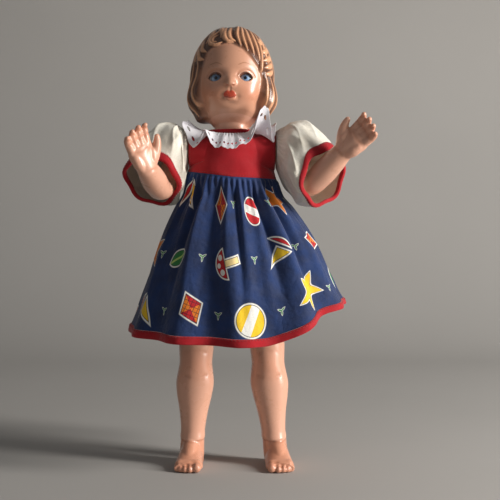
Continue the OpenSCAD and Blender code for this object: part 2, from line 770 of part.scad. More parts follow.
module leg(side) {
    low = [for (k = [0.03, 0.07, 0.11, 0.16, 0.21, 0.27, 0.33, 0.39, 0.44, 0.49, 0.55, 0.62, 0.7, 0.8, 0.9])
        leg_ring(side, k * hip_height)];
    top = [for (polar = [0, 22, 42, 58, 72, 82]) leg_top_ring(side, polar)];
    color(skin_colour)
    difference() {
        union() {
            skin(concat(low, top));
            skin([for (share = [0, 0.04, 0.12, 0.26, 0.4, 0.54, 0.68, 0.8, 0.9]) foot_ring(side, share)]);
            for (form = toes) {
                toe(side, form);
            }
            foot_pads(side);
        }
        translate([leg_axis_x(side, 0) - 60, -80, -20]) cube([120, 160, 20]);
        limb_seat(side, hip_y, hip_height, leg_face);
    }
}

module left_leg() { leg(left); }
module right_leg() { leg(right); }

// Stringing: each limb has a plate with a wire eye, and rubber loops pull the eyes together
hook_plate_t = 2.2;
wire_r = wire_d / 2;
elastic_r = elastic_d / 2;
limb_eye_r = 3.4;
neck_eye_r = 6.5;
arm_loop_r = wire_r + elastic_r + 0.6;
leg_loop_r = wire_r + elastic_r + 0.8;
arm_eye_x = 17;
leg_eye_x = 5.8;
neck_eye_drop = 34;
neck_cap_angle = 52;
neck_cap_t = 2;

// Wire ring in the plane of X and Z
module wire_eye(r) {
    rotate([90, 0, 0]) rotate_extrude() translate([r, 0]) circle(r = wire_r);
}

module limb_hook(side, y, z, face, eye_x) {
    color(steel_colour)
    translate([0, y, z])
    mirror([side == left ? 0 : 1, 0, 0]) {
        translate([face, 0, 0]) rotate([0, 90, 0]) cylinder(h = hook_plate_t, r = hook_plate_r);
        translate([eye_x + limb_eye_r, 0, 0]) rotate([0, 90, 0])
            cylinder(h = face - eye_x - limb_eye_r, r = wire_r);
        translate([eye_x, 0, 0]) wire_eye(limb_eye_r);
    }
}

module arm_hook(side) {
    limb_hook(side, shoulder_y, shoulder_height, arm_face, arm_eye_x);
}

module leg_hook(side) {
    limb_hook(side, hip_y, hip_height, leg_face, leg_eye_x);
}

module left_arm_hook() { arm_hook(left); }
module right_arm_hook() { arm_hook(right); }
module left_leg_hook() { leg_hook(left); }
module right_leg_hook() { leg_hook(right); }

module neck_hook() {
    cap_r = neck_ball_r - neck_wall - 2 * running_gap;
    color(steel_colour)
    translate(neck_pivot) {
        difference() {
            intersection() {
                sphere(r = cap_r);
                translate([0, 0, -cap_r]) cylinder(h = cap_r, r = cap_r * sin(neck_cap_angle));
            }
            sphere(r = cap_r - neck_cap_t);
        }
        translate([0, 0, neck_eye_r - neck_eye_drop])
            cylinder(h = neck_eye_drop - neck_eye_r - cap_r + 1, r = wire_r);
        translate([0, 0, -neck_eye_drop]) wire_eye(neck_eye_r);
    }
}

// Half turn of the rubber round a wire
module loop_bend(bend_r, turn) {
    rotate([0, 90, 0]) rotate([0, 0, turn])
        rotate_extrude(angle = 180) translate([bend_r, 0]) circle(r = elastic_r);
}

// Closed rubber loop between two wires, round each with a half turn
module elastic_loop(from, to, bend_r) {
    run = norm(to - from);
    along = (to - from) / run;
    color(rubber_colour)
    translate(from)
    rotate([0, atan2(along[0], along[2]), 0])
    rotate([-asin(along[1]), 0, 0]) {
        for (y = [-bend_r, bend_r]) {
            translate([0, y, 0]) cylinder(h = run, r = elastic_r);
        }
        loop_bend(bend_r, -90);
        translate([0, 0, run]) loop_bend(bend_r, 90);
    }
}

module arm_elastic() {
    x = arm_eye_x - limb_eye_r;
    elastic_loop([-x, shoulder_y, shoulder_height], [x, shoulder_y, shoulder_height], arm_loop_r);
}

module leg_elastic(side) {
    hang = 15;
    from = [side * leg_eye_x, hip_y, hip_height + limb_eye_r];
    to = neck_pivot + [side * neck_eye_r * sin(hang), 0, -neck_eye_drop - neck_eye_r * cos(hang)];
    elastic_loop(from, to, leg_loop_r);
}

module left_leg_elastic() { leg_elastic(left); }
module right_leg_elastic() { leg_elastic(right); }

// Bodice over the torso, with the waist seam a little higher on the doll's right
cloth_gap = 0.8;
waist_slant = 4;
waist_ease = 6.5;
neckline = shoulder_height + 14.5;
armhole_low = shoulder_height - 18;
armhole_high = shoulder_height + 12.5;
side_angle = 89;
armhole_angle = 52;

function waist_at(a) = waist_height - waist_slant * cos(a) + (waist_slant / 2) * abs(cos(a));
function bodice_point(a, v, lift) = let (
        z = lerp(waist_at(a), neckline, v),
        row = torso_row(z),
        ease = waist_ease * (1 - v) ^ 3.2,
        out = cloth_gap + lift
    )
    [(row[1] + ease + out) * cos(a),
        row[4] + ((sin(a) < 0 ? row[2] : row[3]) + 0.5 * ease + out) * sin(a),
        z];
function bodice_half_angle(v) = let (z = lerp(waist_height, neckline, v))
    lerp(side_angle, armhole_angle,
        smooth(armhole_low, armhole_low + 9, z) * (1 - smooth(armhole_high - 8, armhole_high, z)));

bodice_rows = [0, 0.14, 0.28, 0.4, 0.52, 0.66, 0.75, 0.8, 0.84, 0.88, 0.92, 0.96, 1];

// Panel of the bodice round one heading, between two shares of its half angle
module bodice_panel(middle, from, to, columns) {
    function face(lift) = [for (v = bodice_rows) [for (i = [0:columns])
        let (a = middle + bodice_half_angle(v) * lerp(from, to, i / columns)) bodice_point(a, v, lift)]];
    color(red_colour) panel(face(cloth), face(0));
}

module bodice_front() { bodice_panel(270, -1, 1, 12); }
module bodice_back_left() { bodice_panel(90, -1, -0.01, 6); }
module bodice_back_right() { bodice_panel(90, 0.01, 1, 6); }

button_r = 4;
button_t = 1.8;
button_hole_r = 0.5;
button_hole_out = 1.1;
button_lift = 0.35;
button_angle = 81;
// Outward direction of the bodice at a place on it
function bodice_facing(a, v) = unit(cross(
    bodice_point(a + 2, v, cloth) - bodice_point(a - 2, v, cloth),
    bodice_point(a, v + 0.06, cloth) - bodice_point(a, v - 0.06, cloth)));

module back_buttons() {
    color(white_colour)
    for (v = [0.14, 0.48, 0.8]) {
        out = bodice_facing(button_angle, v);
        translate(bodice_point(button_angle, v, cloth) + out * button_lift)
        rotate([0, acos(out[2]), atan2(out[1], out[0])])
        difference() {
            cylinder(h = button_t, r = button_r);
            for (x = [-1, 1], y = [-1, 1]) {
                translate([x * button_hole_out, y * button_hole_out, -1])
                    cylinder(h = button_t + 2, r = button_hole_r);
            }
        }
    }
}

band_height = 4;
band_t = 1.6;
band_low = neckline + 0.1;
module neck_binding() {
    low_r = torso_row(band_low)[1] + cloth_gap;
    high_r = torso_row(band_low + band_height)[1] + cloth_gap;
    color(red_colour)
    rotate_extrude()
    polygon([[low_r, band_low], [low_r + band_t, band_low],
        [high_r + band_t, band_low + band_height], [high_r, band_low + band_height]]);
}

// Eyelet ruffle that stands out from the neck binding
ruffle_t = 0.8;
ruffle_points = 63;
ruffle_root = band_low + 2;
function ruffle_point(a, v, lift) = let (
        root_r = torso_row(band_low)[1] + cloth_gap + band_t + 0.1,
        front = clamp(-sin(a)),
        wing = swell(norm([turn_gap(a, 192)]), 22) + swell(norm([turn_gap(a, 338)]), 28),
        fall = -12 * front - 3 * clamp(sin(a)) + 21 * wing,
        wave = 4.5 * sin(ruffle_count * a) * v,
        reach = v * ruffle_depth * (1 - 0.25 * front * v)
    )
    [(root_r + reach) * cos(a), (root_r + reach) * sin(a),
        ruffle_root + fall * (0.35 * v + 0.65 * v * v) + wave + lift * 1.2];

module collar_ruffle() {
    shares = [0, 0.3, 0.65, 1];
    color(white_colour)
    skin_round([for (i = [0:ruffle_points - 1])
        let (a = -360 * i / ruffle_points)
            concat(
                [for (v = shares) ruffle_point(a, v, ruffle_t)],
                [for (k = [len(shares) - 1:-1:0]) ruffle_point(a, shares[k], 0)])]);
}

// Flutter sleeves from the armhole to a bound opening round the forearm
sleeve_points = 30;
sleeve_t = 1;
sleeve_reach = 20;
armhole_r = 19;
sleeve_root_x = 45.4;
sleeve_root_drop = 1.8;
// Shift of each opening from the forearm, and the two axes that it spans
left_opening = [[6, 0, 1], [0.80, 0.55, 0.2], [0, -0.12, 1]];
right_opening = [[-7, 11.5, 5.2], [-0.97, 0.2, 0.1], [-0.1, -0.5, 0.86]];
// Sleeve stations: share of the way to the opening, half depth, half height, sag
sleeve_form = [
    [0, armhole_r, armhole_r, 0],
    [0.14, 25, 30.5, 5],
    [0.32, 30, 37.6, 4],
    [0.52, 31, 41.5, 3.5],
    [0.75, 31, 37, 1.5],
    [1, sleeve_half_width, sleeve_half_width, 0]];

function sleeve_crest(side) = [side * 8, 6, 8];
function sleeve_point(side, a, v, inset) = let (
        opening = side == left ? left_opening : right_opening,
        root = [side * sleeve_root_x, shoulder_y - 2, shoulder_height - sleeve_root_drop],
        mouth = elbow(side) + sleeve_reach * arm_dir(side, 1) + opening[0],
        crest = lerp(root, mouth, 0.5) + sleeve_crest(side),
        across = unit(lerp([0, 1, 0], opening[1], v)),
        up = unit(lerp([0, 0, 1], opening[2], v)),
        gather = 0.6 * sin(14 * a) * (1 - v) + 1.4 * sin(6 * a + 40) * v,
        row = row_at(sleeve_form, v),
        centre = bezier(root, crest, mouth, v) - [0, 0, row[3]],
        puff = gather - inset
    )
    centre + across * (row[1] + puff) * cos(a) + up * (row[2] + puff) * sin(a);

function sleeve_section(side, a, shares, outer, inner) = concat(
    [for (v = shares) sleeve_point(side, a, v, -outer)],
    [for (k = [len(shares) - 1:-1:0]) sleeve_point(side, a, shares[k], inner)]);

module sleeve_solid(side, shares, outer, inner) {
    skin_round([for (i = [0:sleeve_points - 1])
        sleeve_section(side, side * 360 * i / sleeve_points, shares, outer, inner)]);
}

// The binding stands out by its own thickness on both faces of the cloth
binding_t = 0.5;
sleeve_binding_from = 0.93;
sleeve_shares = [0, 0.14, 0.32, 0.52, 0.73, sleeve_binding_from];
module sleeve(side) {
    color(white_colour) sleeve_solid(side, sleeve_shares, 0, sleeve_t);
}

module sleeve_binding(side) {
    color(red_colour) sleeve_solid(side, [sleeve_binding_from, 1], binding_t, sleeve_t + binding_t);
}

module left_sleeve() { sleeve(left); }
module right_sleeve() { sleeve(right); }
module left_sleeve_binding() { sleeve_binding(left); }
module right_sleeve_binding() { sleeve_binding(right); }

// Gathered skirt: share of the way down, share of the flare
skirt_form = [[0, 0], [0.05, 0.03], [0.12, 0.115], [0.22, 0.31], [0.47, 0.62], [0.75, 0.85], [1, 1]];
// Valleys between the folds: place round the waist, drift to the hem, depth, half width in degrees
skirt_valleys = [[214, -6, 5, 5], [231, -5, 6, 5], [252, -6, 7.5, 6], [273, 1, 6, 4], [296, 3, 7.5, 5],
    [314, 5, 7, 4], [333, 6, 5, 5], [352, 4, 5, 5], [14, 3, 5, 5], [36, 2, 6, 5], [57, 0, 6, 5],
    [79, -2, 6, 5], [101, 2, 6, 5], [122, 3, 6, 5], [145, 0, 6, 5], [168, -3, 5, 5], [192, -4, 5, 5]];
skirt_points = 104;
function valley_depth(a, v, valley) = let (gap = abs((a - valley[0] - valley[1] * v + 1260) % 360 - 180))
    valley[2] * swell(gap, valley[3] * (0.75 + 0.5 * v));
function skirt_valley(a, v) = smooth(0.02, 0.22, v) * smooth(1.1, 0.35, v)
    * sum([for (valley = skirt_valleys) valley_depth(a, v, valley)]);
hem_shift = 5.5;
function hem_at(a) = hem_height + hem_lift * smooth(0.22, 1, cos(a)) + 4 * clamp(-cos(a));
function skirt_point(a, v, out) = let (
        top = bodice_point(a, 0, 0),
        share = row_at(skirt_form, v)[1],
        wave = sin(fold_count * a + 25 * sin(a)) + 0.3 * sin(5 * a),
        fold = fold_depth * v ^ 0.8 * wave * (1 - 0.6 * smooth(0.86, 1, abs(cos(a)))) - skirt_valley(a, v),
        hem = [hem_shift + hem_half_width * cos(a), 2 + hem_half_depth * sin(a)],
        flat = lerp([top[0], top[1]], hem, share) + [cos(a), sin(a)] * (fold + out),
        drop = lerp(top[2], hem_at(a), v)
    )
    [flat[0], flat[1], drop - 0.1];

module skirt_solid(shares, outer, inner) {
    skin_round([for (i = [0:skirt_points - 1])
        let (a = -360 * i / skirt_points)
            concat(
                [for (v = shares) skirt_point(a, v, outer)],
                [for (k = [len(shares) - 1:-1:0]) skirt_point(a, shares[k], -inner)])]);
}

seam_share = 0.0006;
hem_binding_from = 1 - binding_width / (waist_height - hem_height);
module skirt() {
    shares = [0, 0.06, 0.13, 0.22, 0.34, 0.5, 0.72, hem_binding_from];
    color(navy_colour) skirt_solid(shares, cloth, 0);
}

module hem_binding() {
    color(red_colour) skirt_solid([hem_binding_from + seam_share, 1], cloth + binding_t, binding_t);
}

in_frame() torso_shell();
in_frame() head_shell();
in_frame() left_arm();
in_frame() right_arm();
in_frame() left_leg();
in_frame() right_leg();
in_frame() neck_hook();
in_frame() left_arm_hook();
in_frame() right_arm_hook();
in_frame() left_leg_hook();
in_frame() right_leg_hook();
in_frame() arm_elastic();
in_frame() left_leg_elastic();
in_frame() right_leg_elastic();
in_frame() left_eyeball();
in_frame() right_eyeball();
in_frame() left_iris();
in_frame() right_iris();
in_frame() eye_axle();
in_frame() eye_weight();
in_frame() eye_bridge();
in_frame() bodice_front();
in_frame() bodice_back_left();
in_frame() bodice_back_right();
in_frame() back_buttons();
in_frame() neck_binding();
in_frame() collar_ruffle();
in_frame() left_sleeve();
in_frame() right_sleeve();
in_frame() left_sleeve_binding();
in_frame() right_sleeve_binding();
in_frame() skirt();
in_frame() hem_binding();
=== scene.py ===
import math

import bmesh
import bpy
import numpy as np
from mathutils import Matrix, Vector


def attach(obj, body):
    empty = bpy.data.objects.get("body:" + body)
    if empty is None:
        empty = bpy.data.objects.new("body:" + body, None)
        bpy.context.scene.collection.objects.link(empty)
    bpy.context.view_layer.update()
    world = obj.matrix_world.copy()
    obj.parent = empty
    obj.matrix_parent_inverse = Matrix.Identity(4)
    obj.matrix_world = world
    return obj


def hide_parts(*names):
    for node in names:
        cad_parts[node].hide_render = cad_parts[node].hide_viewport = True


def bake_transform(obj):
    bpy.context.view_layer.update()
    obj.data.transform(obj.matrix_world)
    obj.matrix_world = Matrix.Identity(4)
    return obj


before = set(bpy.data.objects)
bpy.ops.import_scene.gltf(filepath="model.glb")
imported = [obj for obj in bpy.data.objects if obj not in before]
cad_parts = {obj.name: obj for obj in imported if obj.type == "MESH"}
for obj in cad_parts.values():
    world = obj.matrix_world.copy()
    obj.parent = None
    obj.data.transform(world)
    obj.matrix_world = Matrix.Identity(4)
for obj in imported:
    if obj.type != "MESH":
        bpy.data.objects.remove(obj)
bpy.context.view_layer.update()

# Shapes are worked out in millimetres from the body's middle line, which stands here in the frame
BODY = np.array([-15.0, 0.0, 0.0])
LEFT, RIGHT = 1, -1
SIDES = {LEFT: "left", RIGHT: "right"}
# Millimetres of cloth in one unit of UV
UV_UNIT = 100.0


# Curves, in degrees and millimetres

def sn(d):
    return np.sin(np.radians(d))


def cs(d):
    return np.cos(np.radians(d))


def unit(v):
    v = np.asarray(v, float)
    return v / np.linalg.norm(v, axis=-1, keepdims=True)


def lerp(a, b, t):
    return a + (b - a) * t


def smooth(a, b, x):
    """Eased step from 0 at a to 1 at b."""
    t = np.clip((x - a) / (b - a), 0, 1)
    return t * t * (3 - 2 * t)


def swell(d, s):
    """Bell of height 1 and half width s."""
    return np.exp(-d * d / (2 * s * s))


def hump(phase):
    """Wave between 0 and 1."""
    return 0.5 + 0.5 * sn(phase)


def wrapped(angle):
    return (angle + 180) % 360 - 180


def bezier(a, b, c, t):
    return lerp(lerp(a, b, t), lerp(b, c, t), t)


def row_at(rows, s):
    """Rows of a station table at positions s in its first column, on a smooth curve."""
    rows, s = np.asarray(rows, float), np.asarray(s, float)
    flat = s.ravel()
    last = len(rows) - 1
    i = np.clip(np.searchsorted(rows[:, 0], flat, side="right") - 1, 0, last - 1)
    a, b, c, d = rows[np.maximum(i - 1, 0)], rows[i], rows[i + 1], rows[np.minimum(i + 2, last)]
    span = (c - b)[:, :1]
    t = np.clip((flat[:, None] - b[:, :1]) / span, 0, 1)
    out = (c - a) * span / (c - a)[:, :1]
    into = (d - b) * span / (d - b)[:, :1]
    found = (b * (2 * t**3 - 3 * t**2 + 1) + out * (t**3 - 2 * t**2 + t)
             + c * (3 * t**2 - 2 * t**3) + into * (t**3 - t**2))
    return found.reshape(s.shape + (rows.shape[1],))


def heading(turn, lift, side=1):
    """Direction by its turn from the front and its lift from level."""
    turn, lift = np.broadcast_arrays(np.asarray(turn, float), np.asarray(lift, float))
    return np.stack([side * sn(turn) * cs(lift), -cs(turn) * cs(lift), sn(lift)], -1)


def sided(side, point):
    return np.array(point, float) * [side, 1, 1]


def rot_x(t):
    return np.array([[1, 0, 0], [0, cs(t), -sn(t)], [0, sn(t), cs(t)]])


def rot_z(t):
    return np.array([[cs(t), -sn(t), 0], [sn(t), cs(t), 0], [0, 0, 1]])


def srgb(r, g, b):
    c = np.array([r, g, b], float) / 255
    return np.where(c <= 0.04045, c / 12.92, ((c + 0.055) / 1.055) ** 2.4)


def tint(paint, colour, amount):
    return lerp(paint, colour, np.clip(amount, 0, 1)[..., None])


# Meshes

def metres(points):
    return (np.asarray(points, float) + BODY) * 0.001


def grid(rows, cols, wrap=False):
    """Quads of a grid, with each corner's row and unwrapped column."""
    across = cols if wrap else cols - 1
    r, c = (x.ravel() for x in np.meshgrid(np.arange(rows - 1), np.arange(across), indexing="ij"))
    corner_r = np.stack([r, r, r + 1, r + 1], 1)
    corner_c = np.stack([c, c + 1, c + 1, c], 1)
    return corner_r * cols + corner_c % cols, corner_r, corner_c


def block_rim(low_r, high_r, low_c, high_c):
    """Rows and columns of the grid points round a block, in order."""
    return np.array([(low_r, c) for c in range(low_c, high_c)]
                    + [(r, high_c) for r in range(low_r, high_r)]
                    + [(high_r, c) for c in range(high_c, low_c, -1)]
                    + [(r, low_c) for r in range(high_r, low_r, -1)]).T


def join(parts):
    """Verts and faces of several meshes as one."""
    verts, faces, base = [], [], 0
    for v, f in parts:
        verts.append(v)
        faces += [[i + base for i in face] for face in f]
        base += len(v)
    return np.concatenate(verts), faces


def face_outwards(mesh):
    bm = bmesh.new()
    bm.from_mesh(mesh)
    bmesh.ops.recalc_face_normals(bm, faces=bm.faces)
    bm.to_mesh(mesh)
    bm.free()


def add_object(name, data):
    obj = bpy.data.objects.new(name, data)
    bpy.context.scene.collection.objects.link(obj)
    return obj


def add_mesh(name, verts, faces, material, paint=None, corner_uv=None, fix=True):
    """Object from body millimetres, with a painted colour per vertex and UVs per face corner."""
    mesh = bpy.data.meshes.new(name)
    faces = faces.tolist() if isinstance(faces, np.ndarray) else faces
    mesh.from_pydata(metres(verts).tolist(), [], faces)
    if paint is not None:
        colour = mesh.color_attributes.new("paint", "FLOAT_COLOR", "POINT")
        rgba = np.ones((len(verts), 4), np.float32)
        rgba[:, :3] = paint
        colour.data.foreach_set("color", rgba.ravel())
    if corner_uv is not None:
        layer = mesh.uv_layers.new(name="cloth")
        layer.data.foreach_set("uv", np.asarray(corner_uv, np.float32).ravel())
    if fix:
        face_outwards(mesh)
    mesh.polygons.foreach_set("use_smooth", np.ones(len(mesh.polygons), bool))
    mesh.update()
    mesh.materials.append(material)
    return add_object(name, mesh)


class Patch:
    """Surface that grows ring by ring from a grid: its verts, a row of values for each, and its faces."""

    def __init__(self, points, values, faces):
        self.verts, self.values = [points.reshape(-1, 3)], [values.reshape(-1, values.shape[-1])]
        self.faces, self.fan = [faces], []
        self.count = len(self.verts[0])

    def add(self, points, values):
        here = self.count + np.arange(len(points))
        self.verts.append(points)
        self.values.append(values)
        self.count += len(points)
        return here

    def grow(self, ring, points, values):
        """Adds a closed ring, joined to an earlier ring of vertex numbers, and gives its numbers."""
        here = self.add(points, values)
        self.faces.append(np.stack([ring, np.roll(ring, -1), np.roll(here, -1), here], 1))
        return here

    def cap(self, ring, point, value):
        tip = int(self.add(point[None], value[None])[0])
        self.fan += [[int(a), int(b), tip] for a, b in zip(ring, np.roll(ring, -1))]

    def done(self):
        """Verts, values and faces, without the verts that no face uses."""
        faces = np.concatenate(self.faces).tolist() + self.fan
        used = np.zeros(self.count, bool)
        for face in faces:
            used[face] = True
        number = (np.cumsum(used) - 1).tolist()
        faces = [[number[i] for i in face] for face in faces]
        return np.concatenate(self.verts)[used], np.concatenate(self.values)[used], faces


def shell(name, outer, inner, material, u, v, wrap=False):
    """Closed sheet between two grids of points. u and v are the cloth's millimetres per grid point."""
    rows, cols = outer.shape[:2]
    total = rows * cols
    flat = np.stack([u, v], -1) / UV_UNIT
    front, corner_r, corner_c = grid(rows, cols, wrap)
    faces = [front, front[:, ::-1] + total]
    uv = [flat[corner_r, corner_c], flat[corner_r, corner_c][:, ::-1]]
    around = np.arange(cols + wrap)
    rims = [(np.full_like(around, r), around) for r in (0, rows - 1)]
    if not wrap:
        rims += [(np.arange(rows), np.full(rows, c)) for c in (0, cols - 1)]
    for r, c in rims:
        ring, at = r * cols + c % cols, flat[r, c]
        faces.append(np.stack([ring[:-1], ring[1:], ring[1:] + total, ring[:-1] + total], 1))
        uv.append(np.stack([at[:-1], at[1:], at[1:], at[:-1]], 1))
    verts = np.concatenate([outer.reshape(-1, 3), inner.reshape(-1, 3)])
    return add_mesh(name, verts, np.concatenate(faces), material, corner_uv=np.concatenate(uv))


def shade_as(obj, normals):
    """Shading normals of a half that must meet the other half without a line."""
    obj.data.normals_split_custom_set_from_vertices(normals.reshape(-1, 3).tolist())


def normals_of(points, wrap=False):
    """Unit normals of a grid of points, by differences along its rows and columns."""
    if wrap:
        along = np.roll(points, -1, 1) - np.roll(points, 1, 1)
    else:
        along = np.gradient(points, axis=1)
    return unit(np.cross(along, np.gradient(points, axis=0)) + 1e-12)


def outward(normals, points):
    """1 where normals point away from the body's axis, -1 where they point at it."""
    return np.sign(np.sum(normals * points * [1, 1, 0]))


def area_of(points, wrap=False):
    """Area of a grid of points, in square metres."""
    along = np.roll(points, -1, 1) - points if wrap else np.gradient(points, axis=1)
    return float(np.linalg.norm(np.cross(np.gradient(points, axis=0), along), axis=-1).sum()) * 1e-6


def tube(path, radius, sides):
    """Verts and faces of a tube along a path."""
    path = np.asarray(path, float)
    count = len(path)
    tangent = unit(np.gradient(path, axis=0))
    side = np.zeros_like(path)
    start = [0.0, 0, 1] if abs(tangent[0][2]) < 0.9 else [0.0, 1, 0]
    side[0] = unit(np.cross(tangent[0], start))
    for k in range(1, count):
        side[k] = unit(side[k - 1] - tangent[k] * (side[k - 1] @ tangent[k]))
    radius = np.broadcast_to(np.asarray(radius, float), (count,))[:, None]
    angle = np.arange(sides)[None] * 360 / sides
    ring = (side[:, None] * (cs(angle) * radius)[..., None]
            + np.cross(tangent, side)[:, None] * (sn(angle) * radius)[..., None])
    return loft(path[:, None] + ring)


def loft(rings):
    """Verts and faces of a closed solid through a list of rings."""
    rings = np.asarray(rings, float)
    rows, cols = rings.shape[:2]
    faces, _, _ = grid(rows, cols, True)
    last = (rows - 1) * cols
    return rings.reshape(-1, 3), faces.tolist() + [list(range(cols))[::-1], list(range(last, last + cols))]


def pill(points, radii, sides=18):
    """Rounded finger through three control points, with a radius at each."""
    t = np.linspace(0, 1, 10)
    path = bezier(*(np.asarray(p, float)[None] for p in points), t[:, None])
    size = row_at([[0, radii[0]], [0.5, radii[1]], [1, radii[2]]], t)[:, 1]
    first, last = unit(path[0] - path[1]), unit(path[-1] - path[-2])
    ends = np.array([20, 40, 60, 78])
    path = np.concatenate([path[:1] + first * (size[0] * sn(ends[::-1]))[:, None], path,
                           path[-1:] + last * (size[-1] * sn(ends))[:, None]])
    return tube(path, np.concatenate([size[0] * cs(ends[::-1]), size, size[-1] * cs(ends)]), sides)


def bowed(base, middle, tip):
    """Control points of a curve that passes through three points."""
    return [base, middle * 2 - (base + tip) / 2, tip]


def fuse(parts, voxel, rounds):
    """One smooth skin over overlapping closed solids, as verts in millimetres and faces."""
    verts, faces = join(parts)
    mesh = bpy.data.meshes.new("fuse")
    mesh.from_pydata((verts * 0.001).tolist(), [], faces)
    face_outwards(mesh)
    obj = add_object("fuse", mesh)
    remesh = obj.modifiers.new("remesh", "REMESH")
    remesh.mode = "VOXEL"
    remesh.voxel_size = voxel * 0.001
    done = bpy.data.meshes.new_from_object(obj.evaluated_get(bpy.context.evaluated_depsgraph_get()))
    co = np.empty(len(done.vertices) * 3)
    done.vertices.foreach_get("co", co)
    edges = np.empty(len(done.edges) * 2, int)
    done.edges.foreach_get("vertices", edges)
    polygons = [list(p.vertices) for p in done.polygons]
    bpy.data.objects.remove(obj)
    bpy.data.meshes.remove(mesh)
    bpy.data.meshes.remove(done)
    return relax(co.reshape(-1, 3) * 1000, edges.reshape(-1, 2), rounds), polygons


def relax(co, edges, rounds):
    """Taubin smoothing, which keeps the volume."""
    first, second = edges.T
    degree = np.bincount(edges.ravel(), minlength=len(co))[:, None]
    for step in range(rounds * 2):
        total = np.stack([np.bincount(first, co[second, k], len(co))
                          + np.bincount(second, co[first, k], len(co)) for k in range(3)], 1)
        co = co + (0.5 if step % 2 == 0 else -0.52) * (total / degree - co)
    return co


def vertex_normals(co, polygons):
    quads = np.array([p if len(p) == 4 else p + p[-1:] for p in polygons])
    normal = np.cross(co[quads[:, 2]] - co[quads[:, 0]], co[quads[:, 3]] - co[quads[:, 1]])
    total = np.zeros_like(co)
    for k in range(4):
        np.add.at(total, quads[:, k], normal)
    return unit(total + 1e-12)


def line_distance(co, points):
    """Distance of each vertex from a polyline."""
    best = np.full(len(co), 1e9)
    for p, q in zip(points[:-1], points[1:]):
        p, along = np.asarray(p, float), np.asarray(q, float) - p
        t = np.clip((co - p) @ along / (along @ along), 0, 1)
        best = np.minimum(best, np.linalg.norm(co - p - t[:, None] * along, axis=1))
    return best


def stitches(name, path, facing, run, gap, width):
    """Row of sewn stitches along a path, each a small rounded thread that sits on the cloth."""
    path, facing = np.asarray(path, float), unit(facing)
    at = np.concatenate([[0], np.cumsum(np.linalg.norm(np.diff(path, axis=0), axis=1))])
    shape = np.array([[0.0, 0.25], [0.12, 0.8], [0.5, 1.0], [0.88, 0.8], [1.0, 0.25]])
    lift = 0.15
    threads = []
    for start in np.arange(gap / 2, at[-1] - run, run + gap):
        where = start + shape[:, 0] * run
        line, up = (np.stack([np.interp(where, at, x[:, k]) for k in range(3)], 1) for x in (path, facing))
        threads.append(tube(line + unit(up) * (lift * (shape[:, 1:] - 0.2)), width * shape[:, 1], 6))
    return add_mesh(name, *join(threads), red_thread, fix=False)


# Node materials

class Wire:
    """A number or colour in a material's node tree, with arithmetic."""

    def __init__(self, tree, socket):
        self.tree, self.socket = tree, socket

    def do(self, op, *others):
        return calc(self.tree, op, self, *others)

    def __add__(self, other):
        return self.do("ADD", other)

    def __sub__(self, other):
        return self.do("SUBTRACT", other)

    def __mul__(self, other):
        return self.do("MULTIPLY", other)

    def __truediv__(self, other):
        return self.do("DIVIDE", other)

    def __rsub__(self, other):
        return calc(self.tree, "SUBTRACT", other, self)

    __radd__ = __add__
    __rmul__ = __mul__

    def least(self, other):
        return self.do("MINIMUM", other)

    def most(self, other):
        return self.do("MAXIMUM", other)

    def size(self):
        return self.do("ABSOLUTE")

    def floor(self):
        return self.do("FLOOR")

    def fraction(self):
        return self.do("FRACT")

    def below(self, other):
        return self.do("LESS_THAN", other)


def feed(value, socket):
    """Links a wire to a socket, or sets the socket."""
    if isinstance(value, Wire):
        value.tree.links.new(value.socket, socket)
    elif hasattr(value, "__len__"):
        socket.default_value = (*value[:3], 1.0) if len(socket.default_value) == 4 else tuple(value)
    else:
        socket.default_value = value


def calc(tree, op, *args):
    node = tree.nodes.new("ShaderNodeMath")
    node.operation = op
    for arg, socket in zip(args, node.inputs):
        feed(arg, socket)
    return Wire(tree, node.outputs[0])


def length(x, y):
    return (x * x + y * y).do("SQRT")


def ramp(x, low, high, start=0.0, end=1.0):
    node = x.tree.nodes.new("ShaderNodeMapRange")
    node.interpolation_type = "SMOOTHSTEP"
    for value, socket in zip((x, low, high, start, end), node.inputs):
        feed(value, socket)
    return Wire(x.tree, node.outputs[0])


def mix(share, a, b):
    node = share.tree.nodes.new("ShaderNodeMix")
    node.data_type = "RGBA"
    for value, k in ((share, 0), (a, 6), (b, 7)):
        feed(value, node.inputs[k])
    return Wire(share.tree, node.outputs[2])


def noise(tree, scale, detail):
    node = tree.nodes.new("ShaderNodeTexNoise")
    feed(scale, node.inputs["Scale"])
    feed(detail, node.inputs["Detail"])
    place = tree.nodes.new("ShaderNodeTexCoord")
    tree.links.new(place.outputs["Object"], node.inputs["Vector"])
    return Wire(tree, node.outputs[0])


def patches(tree, scale, detail, low, high, start=0.0, end=1.0):
    return ramp(noise(tree, scale, detail), low, high, start, end)


def new_material(name, **values):
    material = bpy.data.materials.new(name)
    material.use_nodes = True
    tree = material.node_tree
    tree.nodes.clear()
    out = tree.nodes.new("ShaderNodeOutputMaterial")
    shader = tree.nodes.new("ShaderNodeBsdfPrincipled")
    tree.links.new(shader.outputs[0], out.inputs[0])
    for key, value in values.items():
        feed(value, shader.inputs[key.replace("_", " ")])
    return material, tree, shader


def finish(shader, colour, rough, relief=None, strength=0.0, depth=0.0):
    """Colour, roughness and fine relief of a surface."""
    feed(colour, shader.inputs["Base Color"])
    feed(rough, shader.inputs["Roughness"])
    if relief is not None:
        node = relief.tree.nodes.new("ShaderNodeBump")
        feed(strength, node.inputs["Strength"])
        feed(depth, node.inputs["Distance"])
        feed(relief, node.inputs["Height"])
        feed(Wire(relief.tree, node.outputs[0]), shader.inputs["Normal"])


def painted(tree):
    node = tree.nodes.new("ShaderNodeAttribute")
    node.attribute_name = "paint"
    return Wire(tree, node.outputs["Color"])


